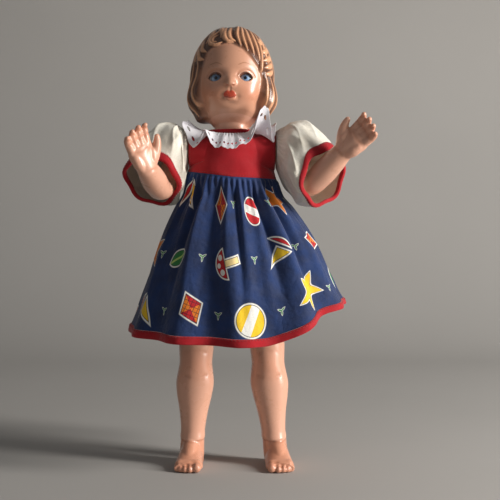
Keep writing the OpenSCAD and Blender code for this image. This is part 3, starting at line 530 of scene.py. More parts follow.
def cloth_uv(tree):
    """Cloth coordinates in millimetres."""
    node = tree.nodes.new("ShaderNodeUVMap")
    node.uv_map = "cloth"
    split = tree.nodes.new("ShaderNodeSeparateXYZ")
    tree.links.new(node.outputs[0], split.inputs[0])
    return Wire(tree, split.outputs[0]) * UV_UNIT, Wire(tree, split.outputs[1]) * UV_UNIT


def weave(u, v, pitch):
    """Height of a plain weave: threads over and under each other."""
    a, b = u / pitch, v / pitch
    parity = ((a.floor() + b.floor()) * 0.5).fraction() * 2
    over = (a.fraction() * math.pi).do("SINE")
    under = (b.fraction() * math.pi).do("SINE")
    return over * parity + under * (1 - parity)


# Materials

SKIN = srgb(222, 168, 142)


def plastic(name, base=None, gloss=0.3):
    """Moulded plastic: painted or plain, with faint mottling, orange peel and rubbed patches."""
    material, tree, shader = new_material(
        name, Specular_IOR_Level=0.5, Coat_Weight=0.4, Coat_Roughness=0.25)
    colour = painted(tree) if base is None else base
    shade = mix(patches(tree, 34, 4, 0.35, 0.7) * 0.06, colour, srgb(196, 132, 100))
    speck = patches(tree, 420, 2, 0.66, 0.78) * 0.05
    finish(shader, mix(speck, shade, srgb(120, 78, 52)),
           patches(tree, 60, 4, 0.3, 0.75, gloss - 0.06, gloss + 0.12), noise(tree, 520, 3), 0.06, 0.0004)
    return material


def metal(name, base, rough):
    material, tree, shader = new_material(name, Metallic=1.0)
    tarnish = patches(tree, 240, 4, 0.42, 0.72) * 0.6
    finish(shader, mix(tarnish, base, srgb(92, 80, 66)),
           patches(tree, 500, 3, 0.3, 0.7, rough - 0.1, rough + 0.15), noise(tree, 900, 2), 0.15, 0.0003)
    return material


def rubber(name):
    material, tree, shader = new_material(name, Specular_IOR_Level=0.3)
    finish(shader, mix(patches(tree, 300, 4, 0.35, 0.7), srgb(206, 194, 168), srgb(170, 152, 118)),
           patches(tree, 400, 2, 0.3, 0.7, 0.55, 0.8), noise(tree, 1500, 3), 0.4, 0.0003)
    return material


def thread(name, base):
    material, tree, shader = new_material(name, Sheen_Weight=0.3)
    finish(shader, mix(patches(tree, 2600, 2, 0.35, 0.65), base * 0.65, base), 0.75,
           noise(tree, 3000, 2), 0.5, 0.0002)
    return material


def pearl(name):
    material, tree, shader = new_material(name, Coat_Weight=0.4, Coat_Roughness=0.1)
    finish(shader, mix(patches(tree, 180, 5, 0.35, 0.7), srgb(236, 230, 216), srgb(206, 196, 178)),
           patches(tree, 260, 3, 0.3, 0.7, 0.18, 0.34), noise(tree, 700, 2), 0.08, 0.0003)
    return material


def eye_glass(name):
    material, tree, shader = new_material(
        name, Specular_IOR_Level=0.6, Coat_Weight=1.0, Coat_Roughness=0.03)
    streak = patches(tree, 900, 4, 0.35, 0.7) * 0.12
    finish(shader, mix(streak, painted(tree), srgb(40, 60, 96)), patches(tree, 200, 2, 0.3, 0.7, 0.08, 0.16))
    return material


def crumple(tree, threads, amount):
    """Height of worn cotton: its threads, its nap and the creases pressed into it."""
    crease = (noise(tree, 42, 3) - 0.5).size() + (noise(tree, 95, 2) - 0.5).size() * 0.4
    return threads * 0.1 + noise(tree, 250, 3) * 0.08 + crease * amount


CRUMPLE_STRENGTH, CRUMPLE_DEPTH = 0.35, 0.002


def cotton(name, base, shade, light, creases=1.5, pitch=0.55, sheen=0.25):
    """Woven cotton with a visible thread, uneven dye, a soft nap and a painted highlight on the crowns of its
    threads.
    """
    material, tree, shader = new_material(
        name, Specular_IOR_Level=0.22, Sheen_Weight=sheen, Sheen_Roughness=0.45)
    threads = weave(*cloth_uv(tree), pitch)
    colour = mix(patches(tree, 70, 5, 0.32, 0.7) * 0.5, base, shade)
    # Painted highlight: the crowns of the threads are mixed toward the light colour
    finish(shader, mix(ramp(threads, 0.2, 1.0) * 0.22, colour, light),
           patches(tree, 120, 3, 0.3, 0.7, 0.72, 0.92),
           crumple(tree, threads, creases), CRUMPLE_STRENGTH, CRUMPLE_DEPTH)
    return material


# Print of the skirt: width of the cloth before it is gathered, motifs across it, and height of a row
SKIRT_FLAT, PRINT_ACROSS, PRINT_ROW = 740.0, 10, 58.0
PRINT_RED, PRINT_YELLOW, PRINT_ORANGE = srgb(196, 34, 40), srgb(238, 196, 40), srgb(232, 128, 36)
PRINT_GREEN, PRINT_WHITE, PRINT_INK = srgb(58, 132, 72), srgb(238, 236, 228), srgb(18, 22, 46)


def rays(x, y, count, start):
    """Wave from 0 to 1 and back, so many times round the middle."""
    return ((x.do("ARCTAN2", y) * (count / (2 * math.pi)) + start).fraction() - 0.5).size() * 2


def motifs(x, y, tone):
    """Distance from the edge, and fill, of a star, a ball, a kite, a boat, a toadstool and a leaf."""
    point = rays(x, y, 5, 10)
    star = length(x, y) - (5.6 + point * point * 6.2)
    star_fill = mix(tone.below(0.45), PRINT_YELLOW, PRINT_ORANGE)
    ball = length(x, y) - 9.2
    band = ((y + x * 0.35).size() - 2.8).below(0.0)
    ball_fill = mix(band, mix(tone.below(0.5), PRINT_RED, PRINT_YELLOW), PRINT_WHITE)
    kite = (x.size() / 7.6 + (y - 1.5).size() / 11.0 - 1) * 6.4
    quarters = mix((x * (y - 1.5)).below(0.0), PRINT_ORANGE, PRINT_RED)
    hatch = ((x + y) / 3.4).fraction().below(0.13).most(((x - y) / 3.4).fraction().below(0.13))
    kite_fill = mix(hatch * 0.85, quarters, PRINT_INK)
    hull = (length(x, y - 3.0) - 10.0).most(y + 2.6)
    sail = ((x * 0.82 + y * 0.57) - 6.0).most(-1.0 * x - 2.2).most(-1.0 * y - 1.2)
    boat_fill = mix(hull.below(sail), PRINT_YELLOW, PRINT_RED)
    cap = (length(x, y + 1.5) - 9.8).most(-1.0 * y - 0.4)
    stem = (x.size() - 3.0).most((y + 5.0).size() - 6.2)
    spots = (length((x.size() - 4.4), y - 3.4) - 1.8).least(length(x, y - 5.4) - 1.5)
    cap_fill = mix(spots.below(0.0), PRINT_RED, PRINT_WHITE)
    toadstool_fill = mix(cap.below(stem), srgb(240, 214, 150), cap_fill)
    leaf = (length(x - 6.5, y) - 11.4).most(length(x + 6.5, y) - 11.4)
    leaf_fill = mix((x.size() - 0.6).below(0.0), PRINT_GREEN, srgb(190, 214, 120))
    return [(star, star_fill), (ball, ball_fill), (kite, kite_fill), (hull.least(sail), boat_fill),
            (cap.least(stem), toadstool_fill), (leaf, leaf_fill)]


def chance(column, row, salt):
    """Random number of a cell of the print."""
    node = column.tree.nodes.new("ShaderNodeTexWhiteNoise")
    node.noise_dimensions = "3D"
    cell = column.tree.nodes.new("ShaderNodeCombineXYZ")
    for value, socket in zip((column + 0.5, row + 0.5, salt), cell.inputs):
        feed(value, socket)
    column.tree.links.new(cell.outputs[0], node.inputs["Vector"])
    return Wire(column.tree, node.outputs[0])


def print_layout(u, v):
    """Distance from the edge, and fill, of the motif in each cell, and the distance from a sprig's edge."""
    wide, tall = SKIRT_FLAT / PRINT_ACROSS, PRINT_ROW
    row = (v / tall).floor()
    shifted = u + ((row * 0.5).fraction() * wide + row * 11.0)
    column = (shifted / wide).floor()
    count = column + PRINT_ACROSS / 2
    turns = count - (count / PRINT_ACROSS).floor() * PRINT_ACROSS
    scatter_u, scatter_v, spin, grow, tone = (chance(turns, row, salt) for salt in (2.5, 3.5, 4.5, 5.5, 7.5))
    px = shifted - (column + 0.5) * wide + (scatter_u - 0.5) * 22
    py = v - (row + 0.5) * tall + (scatter_v - 0.5) * 16
    turn, size = (spin - 0.5) * 2.6, grow * 0.45 + 1.7
    sine, cosine = turn.do("SINE"), turn.do("COSINE")
    kinds = motifs((px * cosine - py * sine) / size, (px * sine + py * cosine) / size, tone)
    index = (((turns * 5 + row * 3) / 6.0).fraction() * 6 + 0.01).floor()
    edge, fill = kinds[0]
    for k, (shape, colour) in enumerate(kinds[1:], 1):
        here = index.do("COMPARE", k, 0.5)
        edge = edge * (1 - here) + shape * here
        fill = mix(here, fill, colour)
    # Sprigs of three small leaves between the motifs
    du = (shifted / wide + 0.5).fraction() * wide - wide / 2
    dv = (v / tall).fraction() * tall - tall / 2
    petal = rays(du, dv, 3, 9)
    return edge, fill, length(du, dv) - (1.4 + 4.2 * petal * petal)


def print_cotton(name):
    """Navy cotton printed with white-edged motifs and small sprigs, with a painted highlight on the crowns of
    its threads and painted shade between them.
    """
    material, tree, shader = new_material(
        name, Specular_IOR_Level=0.25, Sheen_Weight=0.2, Sheen_Roughness=0.5)
    u, v = cloth_uv(tree)
    edge, fill, sprig = print_layout(u, v)
    threads = weave(u, v, 0.5)
    colour = mix(patches(tree, 60, 5, 0.32, 0.7) * 0.55, srgb(20, 33, 70), srgb(32, 58, 112))
    # Painted highlight on the crowns of the threads
    colour = mix(ramp(threads, 0.3, 1.0) * 0.16, colour, srgb(70, 102, 158))
    for distance, outer, inner, ink in ((sprig, 0.2, -0.2, PRINT_WHITE), (sprig, -0.7, -1.0, PRINT_GREEN),
                                        (edge, 0.25, -0.25, PRINT_WHITE), (edge, -0.75, -0.95, PRINT_INK),
                                        (edge, -1.05, -1.3, fill)):
        colour = mix(ramp(distance, outer, inner), colour, ink)
    # Painted shade between the threads, in the dark ink colour
    finish(shader, mix(ramp(threads, 0.0, 0.5, 0.16, 0.0), colour, PRINT_INK),
           patches(tree, 120, 3, 0.3, 0.7, 0.66, 0.9),
           crumple(tree, threads, 6), CRUMPLE_STRENGTH, CRUMPLE_DEPTH)
    return material


skin_painted = plastic("skin_plastic")
skin_plain = plastic("body_plastic", SKIN, 0.34)
red_cotton = cotton("red_cotton", srgb(166, 20, 32), srgb(142, 12, 24), srgb(206, 58, 62))
white_cotton = cotton("white_cotton", srgb(232, 227, 214), srgb(214, 204, 182), srgb(244, 242, 234),
                      5, 0.5, 0.15)
eyelet = cotton("eyelet_cotton", srgb(230, 228, 232), srgb(206, 202, 214), srgb(246, 246, 248), 2, 0.45, 0.15)
printed = print_cotton("printed_cotton")
red_thread = thread("red_thread", srgb(150, 18, 30))
white_thread = thread("white_thread", srgb(226, 222, 208))
steel = metal("hook_steel", srgb(178, 176, 172), 0.35)
lead = metal("weight_lead", srgb(110, 112, 116), 0.55)
cord_rubber = rubber("cord_rubber")
button_pearl = pearl("button_plastic")
glass = eye_glass("eye_enamel")


# Pieces: the body that each rides on, and the nodes it stands for

def stand_for(obj, *nodes):
    if nodes:
        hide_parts(*nodes)


def settle(obj, body, *nodes):
    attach(obj, body)
    stand_for(obj, *nodes)


def hang(obj, body, start, end, *nodes):
    """Bakes a piece's place into its mesh and hides the nodes it stands for; body, start and end are not
    used.
    """
    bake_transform(obj)
    stand_for(obj, *nodes)


# Head

NECK = np.array([0, 0, 346.0])
HEAD_CENTRE = np.array([0, -6, 54.0])
HEAD_TURN = rot_z(-3) @ rot_x(-14)
NECK_BALL = 18.0
EYE = np.array([14.8, -30.5, 41.4])
EYE_R = 8.7
# Almond opening of an eye: the overlap of two circles
SLIT_W, SLIT_H, SLIT_OUT = 13.5, 8.8, 0.8
SLIT_ARC = ((SLIT_W / 2) ** 2 + (SLIT_H / 2) ** 2) / SLIT_H
SLIT_DROP = SLIT_ARC - SLIT_H / 2

# Hairline: lift, and turn of the edge from the front
HAIRLINE = {
    RIGHT: [[-60, 62], [-48, 58], [-32, 51], [-12, 45], [5, 37], [20, 33], [27, 22], [31, 0], [33, -20]],
    LEFT: [[-60, 62], [-48, 58], [-32, 50], [-15, 48], [-3, 40], [10, 28], [22, 16], [31, 0], [33, -20]]}

# Locks of hair: points of turn and lift, half width in degrees, height, strands, free of the hairline
LOCKS = [
    ([(24, 78), (11, 50), (14.5, 25)], 4.6, 1.7, 2, 1),
    ([(28, 74), (20, 46), (24, 19)], 4.6, 1.8, 2, 1),
    ([(34, 71), (30, 44), (34, 15)], 4.8, 1.8, 2, 1),
    ([(46, 68), (41, 42), (43, 6)], 5.0, 1.9, 2, 1),
    ([(54, 65), (50, 40), (46, 0), (47, -8)], 4.6, 1.9, 2, 1),
    ([(64, 50), (54, 40), (46, 36)], 5.6, 2.5, 1, 0),
    ([(70, 38), (61, 28), (50, 23)], 5.6, 2.6, 1, 0),
    ([(73, 26), (64, 17), (53, 12)], 5.4, 2.6, 1, 0),
    ([(75, 15), (66, 7), (55, 2)], 5.2, 2.5, 1, 0),
    ([(76, 5), (67, -3), (56, -7)], 5.0, 2.3, 1, 0),
    ([(54, -6), (57, -18), (58, -32), (61, -43), (66, -52)], 5.6, 2.0, 2, 0),
    ([(66, -6), (70, -19), (71, -33), (73, -44), (78, -53)], 6.6, 2.3, 2, 0),
    ([(79, 0), (85, -18), (86, -36), (92, -53)], 7.4, 2.2, 2, 0),
    ([(-14, 62), (-12, 46), (-7, 35), (4, 31)], 4.0, 1.8, 1, 1),
    ([(-2, 62), (-4, 48), (-1, 38), (7, 33)], 3.6, 1.6, 1, 1),
    ([(-22, 56), (-32, 49), (-38, 40), (-31, 31), (-21, 29), (-13, 32)], 3.4, 2.0, 1, 1),
    ([(-24, 47), (-32, 42), (-30, 35.5), (-23, 35)], 2.8, 1.5, 1, 0),
    ([(-34, 70), (-24, 60), (-16, 50), (-17, 42)], 4.8, 1.6, 1, 0),
    ([(-52, 64), (-44, 56), (-42, 46), (-46, 38)], 5.0, 1.8, 1, 0),
    ([(-60, 48), (-53, 37), (-48, 27), (-38, 21)], 4.6, 2.0, 1, 1),
    ([(-66, 38), (-57, 25), (-50, 14), (-41, 10)], 5.0, 1.9, 1, 1),
    ([(-58, 18), (-50, 4), (-54, -10), (-63, -24), (-62, -38), (-60, -51)], 6.4, 1.9, 2, 0),
    ([(-70, 24), (-62, 6), (-68, -10), (-78, -25), (-77, -39), (-70, -52)], 7.0, 2.2, 2, 0),
    ([(-80, 26), (-75, 6), (-82, -10), (-92, -25), (-93, -39), (-86, -53)], 7.6, 2.2, 2, 0),
]
# Locks down the back in parallel waves; those beside the face end above the locks there
for turn in (*range(62, 287, 16), 298):
    sway = 5.5 + 2 * sn(2.3 * turn)
    points = [(turn + bend * sway, lift) for bend, lift in ((3, 86), (1, 50), (-0.6, 26), (1, 0), (-0.6, -26),
                                                            (0.5, -52))]
    LOCKS.append((points if 86 <= turn <= 274 else points[:4], 8.0, 1.9, 2, 0))

# Swellings and hollows of the face: turn, lift, height, spread in turn and in lift
FACE_MIDDLE = [(0, -20, 0.9, 5, 8), (0, -26.6, 4.4, 4.0, 3.4), (0, -42, 1.0, 6.5, 2.6), (0, -47, 1.0, 5, 2.4),
               (0, -61, 2.2, 9, 7), (0, 12, 0.8, 20, 12), (0, -33.5, -0.6, 1.2, 2.4),
               (0, -52.5, -0.9, 5, 2.2)]
FACE_PAIRS = [(32, -39, 2.8, 13, 11), (21, -5, 0.7, 11, 4), (22, -18, -2.2, 8.5, 6.5),
              (12, -44, -0.8, 2.4, 2.6), (5.6, -27.4, 1.4, 2.0, 1.8), (4.4, -29.8, -0.8, 1.2, 0.8)]


def feature(a, e, turn, lift, height, spread_turn, spread_lift):
    gap = wrapped(a - turn) * cs(lift)
    return height * np.exp(-0.5 * ((gap / spread_turn) ** 2 + ((e - lift) / spread_lift) ** 2))


def lip_edges(a):
    """Lift of the top, the middle line and the bottom of the lips along the mouth, and the share across."""
    x = (a + 1) / 10.8
    across = np.clip(1 - x * x, 0, 1)
    top = -43.4 + 7.5 * across**0.5 * (1 - 0.2 * swell(x, 0.15))
    middle = -44.4 + 0.9 * np.abs(x) ** 1.5 - 0.4 * swell(x, 0.2)
    low = -44.2 - 4.8 * across**0.7
    return top, middle, low, np.abs(x)


def almond(point):
    """Depth inside the nearer eye opening, negative outside, in head millimetres."""
    outside = -1e3
    best = np.full(point.shape[:-1], outside)
    for side in SIDES:
        x = point[..., 0] - side * (EYE[0] + SLIT_OUT)
        z = np.abs(point[..., 2] - EYE[2])
        depth = SLIT_ARC - np.hypot(x, z + SLIT_DROP)
        best = np.maximum(best, np.where(point[..., 1] < -10, depth, outside))
    return best


def skull(d):
    depth = np.where(d[..., 1] < 0, 42, 46)
    height = np.where(d[..., 2] < 0, 50, 49)
    return 1 / np.sqrt((d[..., 0] / 40) ** 2 + (d[..., 1] / depth) ** 2 + (d[..., 2] / height) ** 2)


def face_height(a, e):
    total = sum(feature(a, e, *row) for row in FACE_MIDDLE)
    total = total + sum(feature(a, e, side * turn, *rest) for turn, *rest in FACE_PAIRS for side in SIDES)
    top, middle, low, x = lip_edges(a)
    upper = 0.7 * smooth(top + 0.5, top - 0.9, e) * smooth(middle - 0.6, middle + 0.5, e)
    lower = 0.8 * smooth(middle + 0.4, middle - 0.6, e) * smooth(low - 0.8, low + 1.0, e)
    return total + smooth(1.05, 0.8, x) * (upper + lower - 0.8 * swell(e - middle, 0.42))


def lock_field(d, share):
    """Height of the highest lock at each direction, its strand tone and how much hair there is."""
    height, tone, cover = np.zeros(len(d)), np.full(len(d), 0.3), np.zeros(len(d))
    for points, width, rise, strands, free in LOCKS:
        path = row_at([[k, *p] for k, p in enumerate(points)], np.linspace(0, len(points) - 1, 26))
        line = heading(path[:, 1], path[:, 2])
        last = len(line) - 1
        centre = unit(line.mean(0))
        near = np.where(d @ centre > np.min(line @ centre) - 0.28)[0]
        if len(near) == 0:
            continue
        k = np.argmax(d[near] @ line.T, 1)
        along = unit(np.gradient(line, axis=0))
        offset = np.degrees(d[near] - line[k])
        side = np.einsum("ij,ij->i", offset, np.cross(line, along)[k])
        past = np.where((k == 0) | (k == last), np.einsum("ij,ij->i", offset, along[k]), 0)
        here = k / last
        taper = np.clip(np.sin(np.pi * np.clip(here * 0.86 + 0.11, 0, 1)), 0.02, 1) ** 0.6
        w = width * taper
        q = np.hypot(side, past) / w
        dome = np.clip(1 - q * q, 0, 1) ** 0.62
        comb = 0.5 + 0.5 * np.cos(np.pi * strands * side / w) if strands > 1 else np.ones_like(w)
        own = np.maximum(share[near], smooth(-0.2, 0.5, 1 - here)) if free else share[near]
        value = 1.25 * rise * taper * dome * (0.8 + 0.2 * comb) * own
        better = value > height[near]
        put = near[better]
        height[put] = value[better]
        root = 0.3 * smooth(0.55, 0.0, here)
        tone[put] = (dome**0.9 * (0.55 + 0.45 * comb) * (1 - root))[better]
        cover[near] = np.maximum(cover[near], smooth(0.0, 0.3, dome) * own)
    return height, tone, cover


def head_surface(a, e):
    """Points of the head's skin in head millimetres, and their paint, at turns a and lifts e."""
    shape = a.shape + (3,)
    a, e = wrapped(a).ravel(), e.ravel()
    d = heading(a, e)
    right, left = (np.interp(e, *np.array(HAIRLINE[side], float).T) for side in (RIGHT, LEFT))
    share = smooth(0, 7, np.abs(a) - np.where(a < 0, right, left)) * smooth(-64, -57, e)
    high, tone, cover = lock_field(d, share)
    # The jaw stays full at the sides down to the throat
    jaw = 5.5 * smooth(-44, -62, e) * sn(a) ** 2
    # The bob swells out at the sides and turns in under the ears
    around = np.maximum(swell(np.abs(a) - 84, 24), 0.25 * smooth(84, 110, np.abs(a)))
    bob = 9.6 * smooth(-6, -38, e) * smooth(-64, -53, e) * around
    crown = 2.2 * smooth(36, 72, e)
    radius = skull(d) + face_height(a, e) + jaw + share * (1.7 + bob + crown) + high
    point = HEAD_CENTRE + d * radius[:, None]
    # Raised rim round the eyes, and a fold above them
    rim = almond(point)
    upper = smooth(EYE[2] - 1.0, EYE[2] + 2.0, point[:, 2])
    radius = radius + 0.35 * swell(rim + 0.7, 0.5) - 0.45 * swell(rim + 2.4, 0.5) * upper
    point = HEAD_CENTRE + d * radius[:, None]
    paint = head_paint(a, e, share, tone, cover, rim, upper)
    return point.reshape(shape), paint.reshape(shape)


def head_paint(a, e, share, tone, cover, rim, upper):
    paint = np.tile(SKIN, (len(a), 1))
    for side in (RIGHT, LEFT):
        paint = tint(paint, srgb(228, 138, 106), feature(a, e, side * 33, -37, 0.42, 11, 9))
        paint = tint(paint, srgb(176, 84, 60), feature(a, e, side * 4.6, -29.4, 0.95, 1.3, 0.9))
    turn = np.abs(a)
    arch = -2.6 + 4.2 * smooth(9, 20, turn) - 1.4 * smooth(20, 31, turn)
    brow = 0.85 * swell(e - arch, 0.42) * smooth(9.5, 13, turn) * smooth(32, 28, turn)
    top, middle, low, x = lip_edges(a)
    across = smooth(1.0, 0.93, x)
    lower_lip = 0.55 * across * smooth(middle, middle - 0.5, e) * smooth(low, low + 1.2, e)
    upper_lip = across * smooth(top + 0.25, top - 0.25, e) * smooth(middle - 0.9, middle - 0.4, e)
    hair = lerp(srgb(72, 34, 12), srgb(222, 164, 124), smooth(0.34, 0.9, tone)[:, None])
    for colour, amount in (
            (srgb(146, 92, 52), brow), (srgb(222, 140, 118), lower_lip), (srgb(196, 34, 32), upper_lip),
            (srgb(124, 22, 20), 0.8 * across * swell(e - middle, 0.35)),
            (srgb(176, 116, 76), 0.5 * smooth(-0.6, 0.4, share)), (hair, np.maximum(share, cover) * 0.94),
            (srgb(58, 34, 24), swell(rim, 0.34) * (0.15 + 0.75 * upper)),
            # Painted shade in the fold above each eye
            (srgb(186, 122, 92), 0.5 * swell(rim + 2.4, 0.7) * upper)):
        paint = tint(paint, colour, amount)
    return paint


def head_place(point):
    return point @ HEAD_TURN.T + NECK


def surface_at(x, z):
    """Point and paint of the face's skin in front of places x, z in the head's frame."""
    aside, up = x - HEAD_CENTRE[0], z - HEAD_CENTRE[2]
    ahead = np.full_like(aside, 36.0)
    for _ in range(6):
        size = np.sqrt(aside * aside + ahead * ahead + up * up)
        point, paint = head_surface(np.degrees(np.arctan2(aside, ahead)), np.degrees(np.arcsin(up / size)))
        radius = np.linalg.norm(point - HEAD_CENTRE, axis=-1)
        ahead = np.sqrt(np.maximum(radius**2 - aside * aside - up * up, 1))
    return np.stack([x, HEAD_CENTRE[1] - ahead, z], -1), paint


def throat_rings(point, turns):
    """Rings from the jaw to the neck ball, eased into the lowest rows of the jaw."""
    out, front = heading(turns, 0), cs(turns)
    foot_z = 1.2 + 0.5 * np.clip(front, 0, 1) + 6.5 * np.clip(-front, 0, 1)
    foot = (NECK_BALL + 0.6) * out + foot_z[:, None] * [0, 0, 1]
    full = lerp(foot, point[0], 0.5) + 1.2 * out
    rings = [bezier(point[0], full, foot, t) for t in np.linspace(0.08, 1, 12)]
    jaw_rows = 8
    profile = np.concatenate([point[jaw_rows::-1], rings])
    for _ in range(60):
        profile[1:-1] = 0.5 * profile[1:-1] + 0.25 * (profile[:-2] + profile[2:])
    point[jaw_rows::-1] = profile[: jaw_rows + 1]
    seat = NECK_BALL * heading(turns, np.degrees(np.arcsin((foot_z - 0.8) / NECK_BALL)))
    return [*profile[jaw_rows + 1:], seat]


def eye_rings(outer, side):
    """Rings of skin and paint from a rim round an eye to its almond opening, and in over the eyeball, whose
    wall inside the opening has painted shade.
    """
    middle = np.array([side * (EYE[0] + SLIT_OUT), EYE[2]])
    outer = outer[:, [0, 2]]
    way = unit(outer - middle)
    lean = -np.abs(way[:, 1]) * SLIT_DROP
    reach = lean + np.sqrt(lean**2 + SLIT_ARC**2 - SLIT_DROP**2)
    inner = middle + way * reach[:, None]
    layers = [surface_at(*lerp(outer, inner, t).T)
              for t in (0.12, 0.26, 0.4, 0.54, 0.67, 0.79, 0.88, 0.94, 0.975, 1.0)]
    edge = layers[-1][0]
    lip = edge[:, [0, 2]] - middle
    # Painted shade on the wall inside the opening, darker under the upper lid
    socket_shade = lerp(srgb(200, 142, 114), srgb(150, 98, 74), smooth(EYE[2] - 0.5, EYE[2] + 1.5, edge[:, 2:]))
    for grow, depth in ((0.985, 0.25), (0.975, 0.6), (0.975, 1.2)):
        x, z = (middle + lip * grow).T
        layers.append((np.stack([x, edge[:, 1] + depth, z], -1), socket_shade))
    for grow in (0.98, 1.1, 1.25):
        x, z = (middle + lip * grow).T
        gap = np.hypot(x - side * EYE[0], z - EYE[2])
        y = EYE[1] - np.sqrt(np.maximum((EYE_R + 0.3) ** 2 - gap**2, 0.5))
        layers.append((np.stack([x, np.maximum(y, layers[-1][0][:, 1] - 9), z], -1), socket_shade))
    return layers


def build_head():
    step = 0.62
    turns = np.concatenate([np.arange(-180, -72, 2.1 * step), np.arange(-72, 72, step),
                            np.arange(72, 180, 2.1 * step)])
    lifts = np.concatenate([np.arange(-64, 46, step), np.arange(46, 88.2, 1.7 * step)])
    point, paint = head_surface(*np.meshgrid(turns, lifts))
    throat = throat_rings(point, turns)
    rows, cols = paint.shape[:2]
    faces, corner_r, corner_c = grid(rows, cols, True)
    r, c = corner_r[:, 0], corner_c[:, 0]
    # A block of the grid round each eye gives way to rings that run into the almond opening
    low_r, high_r = np.searchsorted(lifts, [-30, -6])
    keep, rims = np.ones(len(faces), bool), {}
    for side in SIDES:
        low_c, high_c = np.searchsorted(turns, sorted([side * 6.5, side * 41]))
        keep &= ~((r >= low_r) & (r < high_r) & (c >= low_c) & (c < high_c))
        rims[side] = block_rim(low_r, high_r, low_c, high_c)
    patch = Patch(point, paint, faces[keep])
    for side, (rim_r, rim_c) in rims.items():
        ring = rim_r * cols + rim_c
        for skin, colour in eye_rings(point[rim_r, rim_c], side):
            ring = patch.grow(ring, skin, colour)
    # Throat, the ball that sits in the body's cup, and the crown
    ring = np.arange(cols)
    ball = [NECK_BALL * heading(turns, lift) for lift in (-4, -12, -20, -28, -36, -45, -54, -61.8)]
    for under in throat + ball:
        ring = patch.grow(ring, under, np.tile(SKIN, (cols, 1)))
    patch.cap(np.arange((rows - 1) * cols, rows * cols), point[-1].mean(0), paint[-1].mean(0))
    verts, colours, faces = patch.done()
    settle(add_mesh("head_skin", head_place(verts), faces, skin_painted, colours), "head", "head_shell")


def build_eye(side):
    """Enamelled eyeball: blue iris, dark pupil, and a lid with its lashes painted on its upper part."""
    name = SIDES[side]
    polar = np.concatenate([[0.4], np.arange(2, 120, 1.6), np.arange(120, 178, 6), [179.6]])
    p, t = np.meshgrid(polar, np.arange(0, 360, 3.0), indexing="ij")
    point = np.stack([sn(p) * cs(t), -cs(p), sn(p) * sn(t)], -1)
    streak = 0.5 + 0.5 * (0.5 * sn(17 * t + 40) + 0.3 * sn(31 * t) + 0.2 * sn(53 * t + 15))
    iris = tint(srgb(112, 154, 204), srgb(196, 220, 240), smooth(9, 27, p) * (0.35 + 0.65 * streak))
    lift = np.degrees(np.arcsin(point[..., 2]))
    paint = np.tile(srgb(222, 226, 230), p.shape + (1,))
    for colour, amount in ((iris, smooth(35, 33, p)), (srgb(20, 34, 66), 0.75 * swell(p - 33.5, 1.8)),
                           (srgb(8, 10, 18), smooth(12.5, 11, p)), (SKIN, smooth(49, 50, lift)),
                           (srgb(54, 32, 24), swell(lift - 62, 2.6))):
        paint = tint(paint, colour, amount)
    verts, faces = loft(point * EYE_R + sided(side, EYE))
    obj = add_mesh(f"{name}_eye", head_place(verts), faces, glass, paint.reshape(-1, 3))
    settle(obj, "eyes", f"{name}_eyeball", f"{name}_iris")


# Limbs

class Cast:
    """Moulded limb: a fused skin that is pressed in and painted, with painted shade in its creases."""

    def __init__(self, parts, voxel, rounds):
        self.co, self.polygons = fuse(parts, voxel, rounds)
        self.normal = vertex_normals(self.co, self.polygons)
        self.paint = np.tile(SKIN, (len(self.co), 1))

    def push(self, amount):
        self.co = self.co + self.normal * amount[:, None]

    def tint(self, colour, amount):
        self.paint = tint(self.paint, colour, amount)

    # Presses a groove along a line and darkens it with painted shade in the given colour
    def crease(self, line, depth, width, colour, share, spread):
        gap = line_distance(self.co, line)
        self.push(-depth * swell(gap, width))
        self.tint(colour, share * swell(gap, spread))

    def place(self, side, limb, axis_y, axis_z, face):
        """Flat face towards the body, with the recess that takes the hook's plate."""
        x = side * self.co[:, 0]
        reach = np.hypot(self.co[:, 1] - axis_y, self.co[:, 2] - axis_z)
        seat = np.where(reach < 8.5, face + 2.3, face)
        self.co[:, 0] = np.where(x < seat, side * seat, self.co[:, 0])
        name = f"{SIDES[side]}_{limb}"
        settle(add_mesh(f"{name}_skin", self.co, self.polygons, skin_painted, self.paint), name, name)


# Arms: lengths, how far the elbow's curve reaches, and turn and lift of upper arm, forearm and hand
SHOULDER = (52.0, 6.0, 326.0)
UPPER, FORE, PALM, FINGER, BEND = 56.7, 58.0, 25.0, 21.0, 18.0
ARM_LENGTH = UPPER + FORE + PALM
ARM_POSE = {LEFT: ([(41, -53), (57, 43), (66, 41)], 4), RIGHT: ([(37, -56), (12, 24), (42, 63)], 24)}
# Share of the arm's length, half width and half depth
ARM_FORM = [[0, 12, 12], [0.12, 12.6, 12.6], [0.30, 12, 12], [0.43, 11.6, 12], [0.52, 11.8, 12.4],
            [0.62, 12.8, 12.4], [0.74, 11.8, 11], [0.82, 10.4, 9.4], [0.86, 11.2, 9], [0.92, 13.8, 8],
            [0.97, 14.4, 6.8], [1, 12.4, 4.4]]
# Fingers: place across the palm, share of the full length, and spread at the tip
FINGERS = [(9.6, 0.94, 2.4), (3.2, 1, 0.8), (-3.2, 0.95, -1), (-9.2, 0.78, -2.6)]


